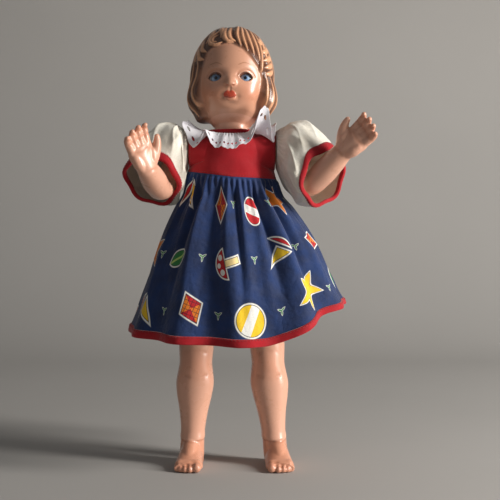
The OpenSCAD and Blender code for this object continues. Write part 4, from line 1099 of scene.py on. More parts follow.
class Arm:
    """Middle line of an arm, and the frame of its hand."""

    def __init__(self, side):
        pose, twist = ARM_POSE[side]
        self.dirs = [heading(*p, side) for p in pose]
        self.shoulder = sided(side, SHOULDER)
        self.elbow = self.shoulder + UPPER * self.dirs[0]
        self.wrist = self.elbow + FORE * self.dirs[1]
        hand = self.dirs[2]
        self.bend = side * np.cross(self.dirs[0], self.dirs[1])
        flat = unit(self.bend - hand * (self.bend @ hand))
        self.palm = flat * cs(side * twist) + np.cross(hand, flat) * sn(side * twist)
        self.thumb = side * np.cross(self.palm, hand)

    def at(self, s):
        d, e = self.dirs, self.elbow
        if s < UPPER - BEND:
            return self.shoulder + s * d[0]
        if s < UPPER + BEND:
            return bezier(e - BEND * d[0], e, e + BEND * d[1], (s - UPPER + BEND) / (2 * BEND))
        if s < UPPER + FORE:
            return e + (s - UPPER) * d[1]
        return self.wrist + (s - UPPER - FORE) * d[2]

    def ring(self, share, a):
        s = share * ARM_LENGTH
        row = row_at(ARM_FORM, share)
        tangent = unit(self.at(s + 4) - self.at(s - 4))
        facing = lerp(unit(self.bend), self.palm, smooth(UPPER, UPPER + FORE, s))
        facing = unit(facing - tangent * (facing @ tangent))
        across = np.cross(tangent, facing)
        return self.at(s) + across * (row[1] * cs(a))[:, None] - facing * (row[2] * sn(a))[:, None]

    def hand(self, x, y, z):
        return self.wrist + self.dirs[2] * x + self.thumb * y + self.palm * z

    def line(self, *points):
        return [self.hand(*p) for p in points]


ARMS = {side: Arm(side) for side in SIDES}
AROUND = np.arange(36) * 10.0


def build_arm(side):
    arm = ARMS[side]
    parts = [loft([arm.ring(share, AROUND) for share in np.linspace(0.02, 1, 66)])]
    ball = [arm.shoulder + 15 * np.stack([np.full(36, sn(p)), cs(p) * cs(AROUND), cs(p) * sn(AROUND)], -1)
            for p in np.linspace(-88, 88, 24)]
    parts.append(loft(ball))
    nails, creases = [], []
    for offset, share, spread in FINGERS:
        reach = FINGER * share
        finger = bowed(*arm.line((PALM - 4, offset, -0.2), (PALM + 0.48 * reach, offset + spread * 0.6, 1.0),
                                 (PALM + reach - 4, offset + spread, 4.4)))
        parts.append(pill(finger, [4.5, 3.9, 2.7]))
        nails.append(finger[2] + arm.dirs[2] * 0.8 - arm.palm * 2.7)
        for k in (0.36, 0.7):
            c = bezier(*finger, k) + arm.palm * 3.6
            creases.append([c + arm.thumb * 3.5, c - arm.thumb * 3.5])
    thumb = bowed(*arm.line((4, 6, 1), (15, 15.5, 4), (25.5, 19.5, 6)))
    nails.append(thumb[2] + arm.dirs[2] * 1.0 - arm.palm * 2.6)
    # The thumb and the two pads of the palm
    parts += [pill(thumb, [6.4, 4.9, 2.9]),
              pill(arm.line((4, 6, 2.5), (9, 8.5, 3.5), (14, 10, 3.2)), [5.4, 6.0, 4.6]),
              pill(arm.line((3, -6, 2), (9, -8.5, 2.4), (16, -9, 1.5)), [5.2, 6.0, 5.2])]
    # Lines of the palm, the wrist and the elbow
    creases += [arm.line((21, 11, 6.6), (17, 3, 5.8), (11, 0, 6.0), (4, 1, 6.6)),
                arm.line((22, -12, 6.4), (20, -4, 5.6), (22, 6, 5.6)),
                arm.line((-1, 9, 8.5), (-1, 0, 9.4), (-1, -9, 8.5))]
    hinge = 8 * unit(np.cross(arm.dirs[0], arm.dirs[1]))
    pit = arm.at(UPPER) + unit(arm.dirs[1] - arm.dirs[0]) * 11
    creases.append([pit + hinge, pit, pit - hinge])
    cast = Cast(parts, 0.85, 7)
    # Each crease is pressed in and darkened with painted shade
    for line in creases:
        cast.crease(line, 0.5, 1.3, srgb(184, 112, 80), 0.45, 1.2)
    for nail in nails:
        gap = np.linalg.norm(cast.co - nail, axis=1)
        cast.push(-0.35 * swell(gap - 2.3, 0.6))
        cast.tint(srgb(228, 158, 138), 0.7 * smooth(2.7, 1.7, gap))
    cast.tint(srgb(216, 142, 108), 0.4 * smooth(22, 42, (cast.co - arm.wrist) @ arm.dirs[2]))
    cast.place(side, "arm", SHOULDER[1], SHOULDER[2], 40.4)


# Legs
HIP_Z, HIP_Y, HIP_X, HIP_R, FOOT, HEEL = 190.0, 2.0, 34.5, 24.0, 58.0, 17.0
TOES_OUT = np.tan(np.radians(4.0))
# How far the foot stands out from the hip, and the power of that curve
LEG_RUN = {LEFT: (12, 1.8), RIGHT: (7.5, 1.2)}
# Share of the hip's height, half width, front and back
LEG_FORM = [[0, 11.6, 13, 14], [0.05, 12.6, 14, 15], [0.137, 12.2, 12.6, 12.4], [0.2, 12.6, 12.6, 13],
            [0.29, 14.8, 13.6, 16], [0.37, 17.8, 15, 20], [0.44, 19.4, 16, 21], [0.495, 18.2, 16.6, 18],
            [0.55, 16.8, 17.8, 15.6], [0.63, 17.8, 18.2, 16.4], [0.72, 18.6, 19, 18],
            [0.82, 19.8, 20.8, 20.8], [0.93, 20.4, 23, 23]]
# Share of the foot's length from the heel, half width and height
FOOT_FORM = [[0, 5, 9], [0.08, 10.5, 17], [0.26, 12.6, 26], [0.46, 13, 23], [0.64, 14, 16.5], [0.8, 14.6, 12],
             [0.9, 13.4, 9.5]]
# Toes: place across the foot, reach past the big toe, and radius
TOES = [(-0.62, 0, 4.7), (-0.17, 0.4, 3.7), (0.17, -1, 3.5), (0.48, -3, 3.3), (0.76, -5.6, 3)]
SOLE_Z = 4.0


def leg_x(side, z):
    run, power = LEG_RUN[side]
    return side * (HIP_X + run * np.clip(1 - z / HIP_Z, 0, 1) ** power)


def leg_ring(side, z, half, front, back):
    a = np.arange(44) * 360 / 44
    return np.array([leg_x(side, z), HIP_Y, z]) + np.stack(
        [half * cs(a), np.where(sn(a) < 0, front, back) * sn(a), 0 * a], -1)


def foot_ring(side, share):
    _, half, high = row_at(FOOT_FORM, share)
    y, lift = HEEL - share * FOOT, sn(AROUND)
    return np.stack([leg_x(side, 0) - side * TOES_OUT * y + half * cs(AROUND), np.full(36, y),
                     SOLE_Z + np.where(lift > 0, high - SOLE_Z, 5) * lift], -1)


def leg_parts(side):
    """Closed solids of leg, foot, heel, instep and ball of the foot."""
    rings = [leg_ring(side, z, *row_at(LEG_FORM, z / HIP_Z)[1:]) for z in np.linspace(0.03, 0.9, 60) * HIP_Z]
    for polar in np.linspace(0, 86, 14):
        depth = HIP_R * cs(polar)
        rings.append(leg_ring(side, HIP_Z + HIP_R * sn(polar), 20.5 * lerp(0.8, 1, cs(polar)), depth, depth))
    parts = [loft(rings), loft([foot_ring(side, share) for share in np.linspace(0, 0.9, 22)])]
    x = leg_x(side, 0)
    pad_y = HEEL - 0.8 * FOOT
    pad_x = x - side * TOES_OUT * pad_y
    for p, r, q, s in (((x, HEEL - 11.5, 9.5), 10.5, (x, HIP_Y + 1, 24), 10),
                       ((x, HIP_Y - 5, 22), 9, (pad_x, pad_y + 8, 8), 7),
                       ((pad_x - 8, pad_y, 6), 5.6, (pad_x + 8, pad_y, 6), 5.6)):
        p, q = np.array(p, float), np.array(q, float)
        parts.append(pill([p, (p + q) / 2, q], [r, (r + s) / 2, s], 24))
    return parts


def build_leg(side):
    parts = leg_parts(side)
    toes, creases = [], []
    for share, reach, r in TOES:
        tip_y = HEEL - FOOT + r - min(0, reach)
        x = leg_x(side, 0) + side * share * 14.6 - side * TOES_OUT * tip_y
        root, tip = np.array([x, HEEL - 0.84 * FOOT + 4, r + 0.6]), np.array([x, tip_y, r - 0.2])
        parts.append(pill([root, (root + tip) / 2 + [0, 0, 0.9], tip], [r, r, r * 0.97]))
        creases.append([tip + [-r, 3.2, r], tip + [r, 3.2, r]])
        toes.append((tip, r))
    # Back, foot and top of the knee
    knee = leg_x(side, 105)
    creases += [[(knee + x, y, z) for x, y, z in line] for line in (
        ((-10, 19, 101), (0, 21, 99), (10, 19, 101)),
        ((-11, -12, 93), (-5, -17, 90), (5, -17, 90), (11, -12, 93)),
        ((-12, -14, 116), (-6, -18, 119), (6, -18, 119), (12, -14, 116)))]
    cast = Cast(parts, 0.8, 5)
    # Each crease is pressed in and darkened with painted shade
    for line in creases:
        cast.crease(line, 0.55, 1.5, srgb(182, 112, 80), 0.4, 1.6)
    for tip, r in toes:
        gap = np.linalg.norm((cast.co - tip - [0, -r * 0.5, r * 0.82]) * [1, 1, 0.8], axis=1)
        cast.push(-0.3 * swell(gap - 0.55 * r, 0.5))
        cast.tint(srgb(230, 164, 142), 0.65 * smooth(0.6 * r, 0.4 * r, gap))
    # Clefts between the toes, pressed in and darkened with painted shade
    for (tip, r), (next_tip, next_r) in zip(toes[:-1], toes[1:]):
        x, y, _ = lerp(tip, next_tip, r / (r + next_r))
        low = min(r, next_r)
        cast.crease([(x, y - low, low * 0.9), (x, y + 2, low * 1.8), (x, y + 6.5, low * 2.3)],
                    0.5, 0.9, srgb(128, 66, 40), 0.7, 0.8)
    # Mould seam down the inner and outer sides
    seam = np.abs(cast.co[:, 1] - HIP_Y)
    on_side = smooth(0.5, 0.8, np.abs(cast.normal[:, 0])) * smooth(20, 34, cast.co[:, 2])
    cast.push(0.16 * swell(seam, 0.55) * on_side)
    cast.tint(srgb(190, 128, 96), 0.35 * swell(seam, 0.6) * on_side)
    # The smooth shin ends in a small step at the ankle, with painted shade along the foot of the step
    above = cast.co[:, 2] - (27 + 0.10 * (cast.co[:, 1] - HIP_Y))
    cast.push(0.55 * smooth(-0.5, 0.5, above) * smooth(9, 1, above))
    cast.tint(srgb(176, 104, 70), 0.55 * swell(above + 0.6, 0.7))
    # Flush of the knee and of the foot
    front = smooth(0, -1, cast.normal[:, 1])
    cast.tint(srgb(222, 150, 118), 0.45 * swell(cast.co[:, 2] - 105, 11) * front)
    cast.tint(srgb(214, 142, 108), 0.55 * smooth(28, 22, cast.co[:, 2]))
    cast.co[:, 2] = np.maximum(cast.co[:, 2], 0)
    cast.place(side, "leg", HIP_Y, HIP_Z, 14.4)


# Bodice: share of the torso's height, half width, front, back and centre of the torso under it
TORSO_BASE, TORSO_TOP, SHOULDER_Z, SHOULDER_SHARE = 215.5, 345.0, 326.0, 0.8533
TORSO = [[0, 34, 25, 24, 2], [0.04, 41, 31, 28, 2], [0.12, 44, 35, 30.5, 2], [0.26, 43, 35, 28.5, 1.5],
         [0.42, 39, 31.5, 26, 1], [0.58, 37.5, 29.5, 26, 1], [0.74, 37.5, 28, 26, 1],
         [0.84, 36.5, 25.5, 25, 0.5], [0.90, 32, 23.5, 23.5, 0], [0.94, 25.5, 22.5, 22.5, 0],
         [0.97, 22.6, 22.3, 22.3, 0], [1, 22.3, 22.3, 22.3, 0]]
CLOTH, CLOTH_GAP = 1.2, 0.8
NECKLINE, WAIST, SKIRT_LENGTH = 340.5, 296.0, 164.0
SLEEVE_ROOT, ROOT_R = (45.4, SHOULDER[1] - 2, SHOULDER[2] - 1.8), 19.0
# Panels: middle in degrees, first and last share of the half turn, columns, and width of the cloth in metres
FRONT, BACK = 270, 90
PANELS = {"bodice_front": (FRONT, -1, 1, 130, 0.118), "bodice_back_left": (BACK, -1, -0.01, 66, 0.06),
          "bodice_back_right": (BACK, 0.01, 1, 66, 0.06)}
PANEL_ROWS = 60


def torso_row(z):
    z = np.asarray(z, float)
    low = SHOULDER_SHARE * (z - TORSO_BASE) / (SHOULDER_Z - TORSO_BASE)
    high = lerp(SHOULDER_SHARE, 1, (z - SHOULDER_Z) / (TORSO_TOP - SHOULDER_Z))
    return row_at(TORSO, np.where(z < SHOULDER_Z, low, high))


def bodice_point(a, v, lift):
    waist = WAIST - 4 * cs(a) + 2 * np.abs(cs(a))
    z = lerp(waist, NECKLINE, v)
    row = torso_row(z)
    ease = 6.5 * np.clip(1 - v, 0, 1) ** 3.2
    out = CLOTH_GAP + lift
    depth = np.where(sn(a) < 0, row[..., 2], row[..., 3]) + 0.5 * ease + out
    return np.stack([(row[..., 1] + ease + out) * cs(a), row[..., 4] + depth * sn(a), z], -1)


def armhole(side, front, v, edge):
    """A panel's outer edge: the side seam, the sleeve's root ring, then the shoulder seam to the neck."""
    low, high = 0.2, 0.9
    turn = lerp(-90, 90, np.clip((v - low) / (high - low), 0, 1))
    r = ROOT_R + 1.8
    ring = np.stack([np.full_like(v, side * (SLEEVE_ROOT[0] - 1.2)), SLEEVE_ROOT[1] + front * r * cs(turn),
                     SLEEVE_ROOT[2] + r * sn(turn)], -1)
    on_ring = smooth(0, low, v) * (1 - np.clip((v - high) / (1 - high), 0, 1))
    return lerp(edge, ring, on_ring[..., None])


def panel_points(middle, share, v):
    """Outer face of a bodice panel: fitted in the middle, and carried out to the sleeves at the armholes."""
    front = -1 if middle == FRONT else 1
    z = lerp(WAIST, NECKLINE, v)
    opening = smooth(297, 311, z) * (1 - smooth(333, NECKLINE, z))
    half, fitted = lerp(89.5, 40, opening), lerp(1.0, 0.6, opening)
    to = np.sign(share)
    points = bodice_point(middle + half * np.clip(np.abs(share) / fitted, 0, 1) * to, v, CLOTH)
    edge = bodice_point(middle + half * to, v, CLOTH)
    on_left, on_right = (armhole(side, front, v, edge) for side in SIDES)
    goal = np.where((to * -front)[..., None] > 0, on_left, on_right)
    past = np.clip((np.abs(share) - fitted) / np.maximum(1 - fitted, 1e-6), 0, 1)[..., None]
    control = lerp(edge, goal, 0.45) + np.array([0, front * 1.6, 0]) * opening[..., None]
    return np.where(past > 0, bezier(edge, control, goal, past), points)


def bodice_creases(a, v, share):
    """Broad soft drags from the armholes and the gathered waist."""
    drag = swell(v - 0.55 - 0.35 * np.abs(share), 0.12) * smooth(0.25, 0.8, np.abs(share))
    low = hump(9 * a + 70 * sn(2 * a)) * smooth(0.4, 0.05, v)
    slant = hump(5 * a + 300 * v) * smooth(0.05, 0.3, v) * smooth(1, 0.8, v)
    return 0.7 * drag + 0.6 * low + 0.5 * slant


def build_panel(name, middle, first, last, cols, wide):
    share, v = np.meshgrid(np.linspace(first, last, cols), np.linspace(0, 1, PANEL_ROWS))
    outer = panel_points(middle, share, v)
    facing = normals_of(outer)
    facing = facing * outward(facing, outer)
    # Rolled edges: the cloth is thinner at its very rim
    rim = np.minimum(np.minimum(v, 1 - v) * PANEL_ROWS,
                     np.minimum(share - first, last - share) / (last - first) * cols)
    flat_back = 1 if middle == FRONT else smooth(0.12, 0.35, np.abs(share))
    creases = bodice_creases(middle + 89 * share, v, share) * smooth(0, 4, rim) * flat_back
    outer = outer + facing * creases[..., None]
    inner = outer - facing * lerp(0.5, 1.1, smooth(0, 2.2, rim))[..., None]
    u = np.cumsum(np.linalg.norm(np.gradient(outer, axis=1), axis=-1), axis=1)
    obj = shell(name + "_cloth", outer, inner, red_cotton, u, v * (NECKLINE - WAIST))
    settle(obj, "torso", name)
    area = area_of(outer)
    # Topstitching a little inside the waist seam and along the armholes
    for key, line in (("waist", np.s_[2]), ("a", np.s_[4:-4, 2]), ("b", np.s_[4:-4, cols - 3])):
        settle(stitches(f"{name}_stitch_{key}", outer[line], facing[line], 2.0, 1.0, 0.26), "torso")


# Buttons: radius and height of the turned profile
BUTTON_FORM = [(0.01, 0.15), (2.9, 0.15), (3.7, 0.35), (4.0, 0.9), (3.9, 1.45), (3.5, 1.8), (3.1, 1.75),
               (2.7, 1.3), (2.3, 1.1), (1.9, 1.05)]
BUTTON_TURN, BUTTON_SIDES, BUTTON_HOLE = 81.0, 48, 0.42


def button(place, x, y, out):
    """Sew-through button: a raised rim, and a dished face with four holes."""
    def at(points, height):
        return place + x * points[:, :1] + y * points[:, 1:] + out * height

    turn = np.arange(BUTTON_SIDES) * 360 / BUTTON_SIDES
    circle = np.stack([cs(turn), sn(turn)], -1)
    verts = [at(circle * r, h) for r, h in BUTTON_FORM]
    faces = grid(len(verts), BUTTON_SIDES, True)[0].tolist()
    rim = (len(verts) - 1) * BUTTON_SIDES
    start = rim + BUTTON_SIDES
    steps = BUTTON_SIDES // 4
    for quarter in range(4):
        # A quarter of the face is a ring round its own hole, from the rim's arc to the button's middle
        arc = (np.arange(steps + 1) + quarter * steps) % BUTTON_SIDES
        hole = 1.045 * np.array([cs(quarter * 90 + 45), sn(quarter * 90 + 45)])
        bounds = np.concatenate([circle[arc] * BUTTON_FORM[-1][0], [[0, 0]]])
        points = np.concatenate([hole + BUTTON_HOLE * unit(bounds - hole), [[0, 0]]])
        verts += [at(points, 1.0), at(points, 0.2)]
        arc, n = rim + arc, len(points)
        loop = start + np.arange(n - 1)
        middle = start + n - 1
        following = np.roll(loop, -1)
        faces += np.stack([arc[:-1], arc[1:], loop[1:-1], loop[:-2]], 1).tolist()
        faces += [[arc[-1], middle, loop[-1], loop[-2]], [arc[0], loop[0], loop[-1], middle]]
        faces += np.stack([loop, following, following + n, loop + n], 1).tolist()
        start += 2 * n
    return np.concatenate(verts), faces


def button_threads(place, x, y, out):
    """Crossed thread over the holes, and the shank under the button."""
    crosses = []
    for turn in (45, 135):
        way = x * cs(turn) + y * sn(turn)
        line = [place + way * (1.05 * k) + out * (1.05 + 0.3 * (1 - k * k) - 4.5 * max(0, abs(k) - 0.9))
                for k in np.linspace(-1, 1, 9)]
        crosses.append(tube(line, 0.24, 8))
    return [*crosses, tube([place + out * h for h in (-0.6, -0.2, 0.2)], 0.7, 8)]


def build_buttons():
    buttons, threads = [], []
    for v in (0.14, 0.48, 0.8):
        place, right, left, high, low = (bodice_point(np.float64(BUTTON_TURN + da), np.float64(v + dv), CLOTH)
                                         for da, dv in ((0, 0), (2, 0), (-2, 0), (0, 0.06), (0, -0.06)))
        x = unit(right - left)
        out = unit(np.cross(right - left, high - low))
        seat = (place + out * 0.45, x, np.cross(out, x), out)
        buttons.append(button(*seat))
        threads += button_threads(*seat)
    settle(add_mesh("button_set", *join(buttons), button_pearl), "torso", "back_buttons")
    settle(add_mesh("button_thread", *join(threads), white_thread), "torso")


# Neck band, and the bands of sleeves and hem

def band(name, rings, pitch, rise, wrap=True):
    """Folded strip from rings along it, closed round its section, and capped where it doesn't run round."""
    total, cols = rings.shape[:2]
    faces, corner_r, corner_c = grid(total + 1, cols, wrap)
    faces = (faces % (total * cols)).tolist()
    uv = (np.stack([corner_c * pitch, corner_r * rise], -1) / UV_UNIT).reshape(-1, 2).tolist()
    for column in () if wrap else (0, cols - 1):
        faces.append([k * cols + column for k in range(total)])
        uv += [[0.0, 0.0]] * total
    return add_mesh(name, rings.reshape(-1, 3), faces, red_cotton, corner_uv=uv)


BAND_LOW = NECKLINE + 0.1
# Sections of the bands: out from the cloth, and share of the height
NECK_SECTION = [(0.0, 0.05), (0.0, 0.5), (0.0, 0.95), (0.35, 1.0), (0.9, 0.98), (1.35, 0.9), (1.6, 0.7),
                (1.55, 0.5), (1.6, 0.28), (1.35, 0.1), (0.9, 0.02), (0.35, 0.0)]
SLEEVE_SECTION = [(0.2, 0.0), (0.9, 0.2), (1.2, 0.5), (1.1, 0.8), (0.5, 0.97), (-0.7, 1.03), (-2.2, 1.0),
                  (-3.0, 0.85), (-3.1, 0.55), (-2.6, 0.25), (-1.2, 0.03)]
HEM_SECTION = [(1.25, 0.0), (1.75, 0.12), (1.95, 0.4), (1.9, 0.75), (1.55, 0.95), (0.6, 1.0), (-0.3, 0.95),
               (-0.65, 0.75), (-0.7, 0.4), (-0.5, 0.12), (0.0, 0.02)]


def neck_ring(a, z, out):
    r = torso_row(z)[1] + CLOTH_GAP + out
    return np.stack([r * cs(a), r * sn(a), np.full_like(a, z)], -1)


def build_neck_band():
    """Folded bias band: a padded outer face, a turned top edge and a row of stitches."""
    a = np.arange(0, 360, 2.0)
    rings = [neck_ring(a, BAND_LOW + 4 * up, out + 0.12 * sn(46 * a + 200 * up) * (out > 1))
             for out, up in NECK_SECTION]
    obj = band("neck_band", np.array(rings), 0.86, 0.9)
    settle(obj, "torso", "neck_binding")
    path = neck_ring(np.append(a, 0.0), BAND_LOW + 1.1, 1.62)
    settle(stitches("neck_band_stitch", path, path * [1, 1, 0], 1.8, 0.9, 0.22), "torso")


# Collar ruffle: turn round the neck, rise of the edge from the root, and its reach outwards
RUFFLE_EDGE = [[168, 6, 20], [180, 12, 20], [190, 12, 20.5], [199, 8, 29], [205, -4, 26], [212, -15, 22],
               [219, -12, 19], [228, 1, 17], [242, -13, 16], [262, -16, 15], [285, -13, 16], [297, -6, 18],
               [308, 20, 21], [319, 23, 23], [329, -6, 22], [337, -12, 21], [350, 8, 20.5], [370, 6, 20.5],
               [400, -2, 22], [450, -4, 21], [500, -2, 23]]
# Eyelets: count, grid steps of the cell round each, and the cell's foot and height as shares of the ruffle
EYELETS, EYELET_STEPS, EYELET_LOW, EYELET_HIGH = 58, 4, 0.7, 0.19
RUFFLE_TURN, RUFFLE_DEEP = 1.15, 26


def ruffle_point(a, v, extra=0.0):
    root = torso_row(BAND_LOW)[1] + CLOTH_GAP + 1.7
    edge = np.array(RUFFLE_EDGE, float)
    rows = np.concatenate([edge[-1:] - [360, 0, 0], edge, edge[:2] + [360, 0, 0]])
    _, rise, reach = np.moveaxis(row_at(rows, (a - 170) % 360 + 170), -1, 0)
    wave = (1.2 * sn(13 * a) + 0.7 * sn(27 * a + 50)) * v + 1.0 * sn(60 * a) * swell(v - 0.14, 0.12)
    z = BAND_LOW + 2 - 2.8 * np.clip(-sn(a), 0, 1) + rise * (0.3 * v + 0.7 * v * v) + wave + extra
    return np.stack([(root + reach * v) * cs(a), (root + reach * v) * sn(a), z], -1)


def build_collar():
    """Gathered eyelet lace: round holes with worked rims near a scalloped edge."""
    cols = EYELETS * EYELET_STEPS
    above = np.linspace(0, EYELET_LOW, 17)[:-1]
    cell_rows = EYELET_LOW + EYELET_HIGH * np.arange(EYELET_STEPS) / EYELET_STEPS
    levels = np.concatenate([above, cell_rows, [EYELET_LOW + EYELET_HIGH, 0.925, 0.96, 1.0]])
    a, v = np.meshgrid(np.arange(cols) * 360 / cols, levels)
    scallop = 0.045 * np.abs(sn(a * EYELETS / 2)) ** 0.7
    v = v + np.where(v > 0.9, scallop * smooth(0.9, 1.0, v), 0) - np.where(v > 0.99, 0.03, 0)
    faces, corner_r, _ = grid(len(levels), cols, True)
    first = len(above)
    keep = (corner_r[:, 0] < first) | (corner_r[:, 0] >= first + EYELET_STEPS)
    scale = np.array([RUFFLE_TURN, RUFFLE_DEEP])
    points = ruffle_point(a, v, 0.35 * smooth(0.955, 0.99, v))
    patch = Patch(points, np.stack([a, v], -1) * scale, faces[keep])
    half_a, half_v, half_cell = 180 / EYELETS, EYELET_HIGH / 2, EYELET_STEPS / 2
    for cell in range(EYELETS):
        left = cell * EYELET_STEPS
        r, c = block_rim(first, first + EYELET_STEPS, left, left + EYELET_STEPS)
        angle = np.degrees(np.arctan2(r - first - half_cell, c - left - half_cell))
        ring = r * cols + c % cols
        for share, lift in ((0.78, 0.25), (0.66, 0.3), (0.56, 0.0)):
            ra = (2 * cell + 1) * half_a + share * half_a * cs(angle)
            rv = EYELET_LOW + half_v + share * half_v * sn(angle) * 0.95
            ring = patch.grow(ring, ruffle_point(ra, rv, lift), np.stack([ra, rv], -1) * scale)
    verts, flat, faces = patch.done()
    # Faces across the joint of the strip take their UVs from one end of it
    uv = flat[np.array(faces)] / UV_UNIT
    turned = np.ptp(uv[:, :, 0], axis=1) > 1.5
    uv[turned, :, 0] += np.where(uv[turned, :, 0] < 1.0, 360 * RUFFLE_TURN / UV_UNIT, 0)
    obj = add_mesh("collar_lace", verts, faces, eyelet, corner_uv=uv)
    thick = obj.modifiers.new("thickness", "SOLIDIFY")
    thick.thickness = 0.0005
    thick.offset = 1.0
    fine = obj.modifiers.new("fine", "SUBSURF")
    fine.levels = fine.render_levels = 1
    settle(obj, "torso", "collar_ruffle")


# Sleeves: share of the length, half width across and up, and sag
SLEEVE_FORM = [[0, 19, 19, 0], [0.14, 25, 30.5, 5], [0.32, 30, 37.6, 4], [0.52, 31, 41.5, 3.5],
               [0.75, 31, 37, 1.5], [1, 28, 28, 0]]
# Opening: offset of its middle from the arm, and its directions across and up
OPENING = {LEFT: np.array([[6, 0, 1], [0.80, 0.55, 0.2], [0, -0.12, 1]]),
           RIGHT: np.array([[-7, 11.5, 5.2], [-0.97, 0.2, 0.1], [-0.1, -0.5, 0.86]])}
# Share of the length at which the binding starts, and how far out the sleeve would stay with the torso, which
# hang doesn't use
SLEEVE_BINDING, SLEEVE_STAYS = 0.91, 47.0
SLEEVE_COLS, SLEEVE_ROWS, SLEEVE_WIDE, SLEEVE_DEEP = 180, 56, 232, 92


def sleeve_mouth(side):
    arm = ARMS[side]
    return arm.elbow + 20 * arm.dirs[1] + OPENING[side][0]


def sleeve_point(side, a, v, out):
    _, way_across, way_up = OPENING[side]
    root, mouth = sided(side, SLEEVE_ROOT), sleeve_mouth(side)
    crest = lerp(root, mouth, 0.5) + np.array([side * 8, 6, 8])
    w = v[..., None]
    across = unit(lerp(np.array([0, 1.0, 0]), way_across, w))
    up = unit(lerp(np.array([0, 0, 1.0]), way_up, w))
    row = row_at(SLEEVE_FORM, v)
    centre = bezier(root, crest, mouth, w) - row[..., 3:4] * np.array([0, 0, 1.0])
    puff = 0.6 * sn(14 * a) * (1 - v) + 1.4 * sn(6 * a + 40) * v + out
    return (centre + across * ((row[..., 1] + puff) * cs(a))[..., None]
            + up * ((row[..., 2] + puff) * sn(a))[..., None])


def sleeve_folds(a, v):
    """Fine gathers at the armhole and crisp creases in the puff, all outwards."""
    gathers = 0.9 * hump(40 * a + 60 * sn(3 * a)) * smooth(0, 0.05, v) * smooth(0.34, 0.06, v)
    crease = (1 - np.abs(sn(3.5 * a + 120 * v))) ** 2 + 0.8 * (1 - np.abs(sn(4.5 * a - 150 * v + 70))) ** 3
    return gathers + 2.0 * crease * smooth(0.06, 0.26, v) * smooth(0.93, 0.75, v)


def build_sleeve(side):
    name = SIDES[side]
    a, v = np.meshgrid(np.arange(SLEEVE_COLS + 1) * 360 / SLEEVE_COLS,
                       np.linspace(0, SLEEVE_BINDING, SLEEVE_ROWS))
    folds = sleeve_folds(a, v)[:, :-1]
    outer, inner = (sleeve_point(side, a[:, :-1], v[:, :-1], folds - thick) for thick in (0, 0.8))
    obj = shell(f"{name}_sleeve_cloth", outer, inner, white_cotton,
                a / 360 * SLEEVE_WIDE, v * SLEEVE_DEEP, True)
    start = sided(side, (SLEEVE_STAYS, *SHOULDER[1:]))
    hang(obj, f"{name}_arm", start, lerp(start, sleeve_mouth(side), 0.9), f"{name}_sleeve")
    # Bound edge: a folded strip over both faces of the cloth, with its stitches
    turn = np.arange(121) * 3.0
    rings = [sleeve_point(side, turn[:-1], np.full(120, lerp(SLEEVE_BINDING, 1.0, share)),
                          out + 0.1 * sn(40 * turn[:-1] + 90 * share)) for out, share in SLEEVE_SECTION]
    binding = band(f"{name}_sleeve_band", np.array(rings), 1.5, 1.0)
    settle(binding, f"{name}_arm", f"{name}_sleeve_binding")
    path = sleeve_point(side, turn, np.full(121, lerp(SLEEVE_BINDING, 1, 0.22)), 0.95)
    settle(stitches(f"{name}_sleeve_stitch", path, path - path.mean(0), 2.0, 1.1, 0.26), f"{name}_arm")
    cloth_area = area_of(outer, True)


# Skirt: share of the length, and share of the way out from waist to hem
SKIRT_FORM = [[0, 0], [0.05, 0.03], [0.12, 0.115], [0.22, 0.31], [0.47, 0.62], [0.75, 0.85], [1, 1]]
SKIRT_DEEP = 176
HEM_FROM = 1 - 8 / SKIRT_LENGTH
HEM_HALF = 150
# Line along a leg, given to hang, which doesn't use it: its direction, and where the skirt would stay and
# where it would follow
SKIRT_WAY, SKIRT_STAYS, SKIRT_FOLLOWS = (0.868, -0.49, -0.083), 35.3, 62.1
# Deep valleys between the folds: place round the waist, drift to the hem, depth and half width in degrees
VALLEYS = [(214, -6, 5, 5), (231, -5, 6, 5), (252, -6, 7.5, 6), (273, 1, 6, 4), (296, 3, 7.5, 5),
           (314, 5, 7, 4), (333, 6, 5, 5), (351, 4, 5, 5), (6, 0, 8, 8), (21, 3, 4, 5), (38, 2, 6, 5),
           (57, 0, 6, 5), (79, -2, 6, 5), (101, 2, 6, 5), (122, 3, 6, 5), (145, 0, 6, 5), (161, -3, 4, 5),
           (176, 0, 8, 8), (194, -4, 4, 5)]


def skirt_point(a, v, out):
    top = bodice_point(a, np.zeros_like(a), 0)
    share = row_at(SKIRT_FORM, v)[..., 1]
    flatter_sides = 1 - 0.6 * smooth(0.86, 1, np.abs(cs(a)))
    fold = 5 * v**0.8 * (sn(11 * a + 25 * sn(a)) + 0.3 * sn(5 * a)) * flatter_sides
    hem = np.stack([5.5 + 112 * cs(a), 2 + 91 * sn(a)], -1)
    hem_z = WAIST - SKIRT_LENGTH + 33 * smooth(0.22, 1, cs(a)) + 4 * np.clip(-cs(a), 0, 1)
    flat = lerp(top[..., :2], hem, share[..., None]) + np.stack([cs(a), sn(a)], -1) * (fold + out)[..., None]
    return np.concatenate([flat, (lerp(top[..., 2], hem_z, v) - 0.1)[..., None]], -1)


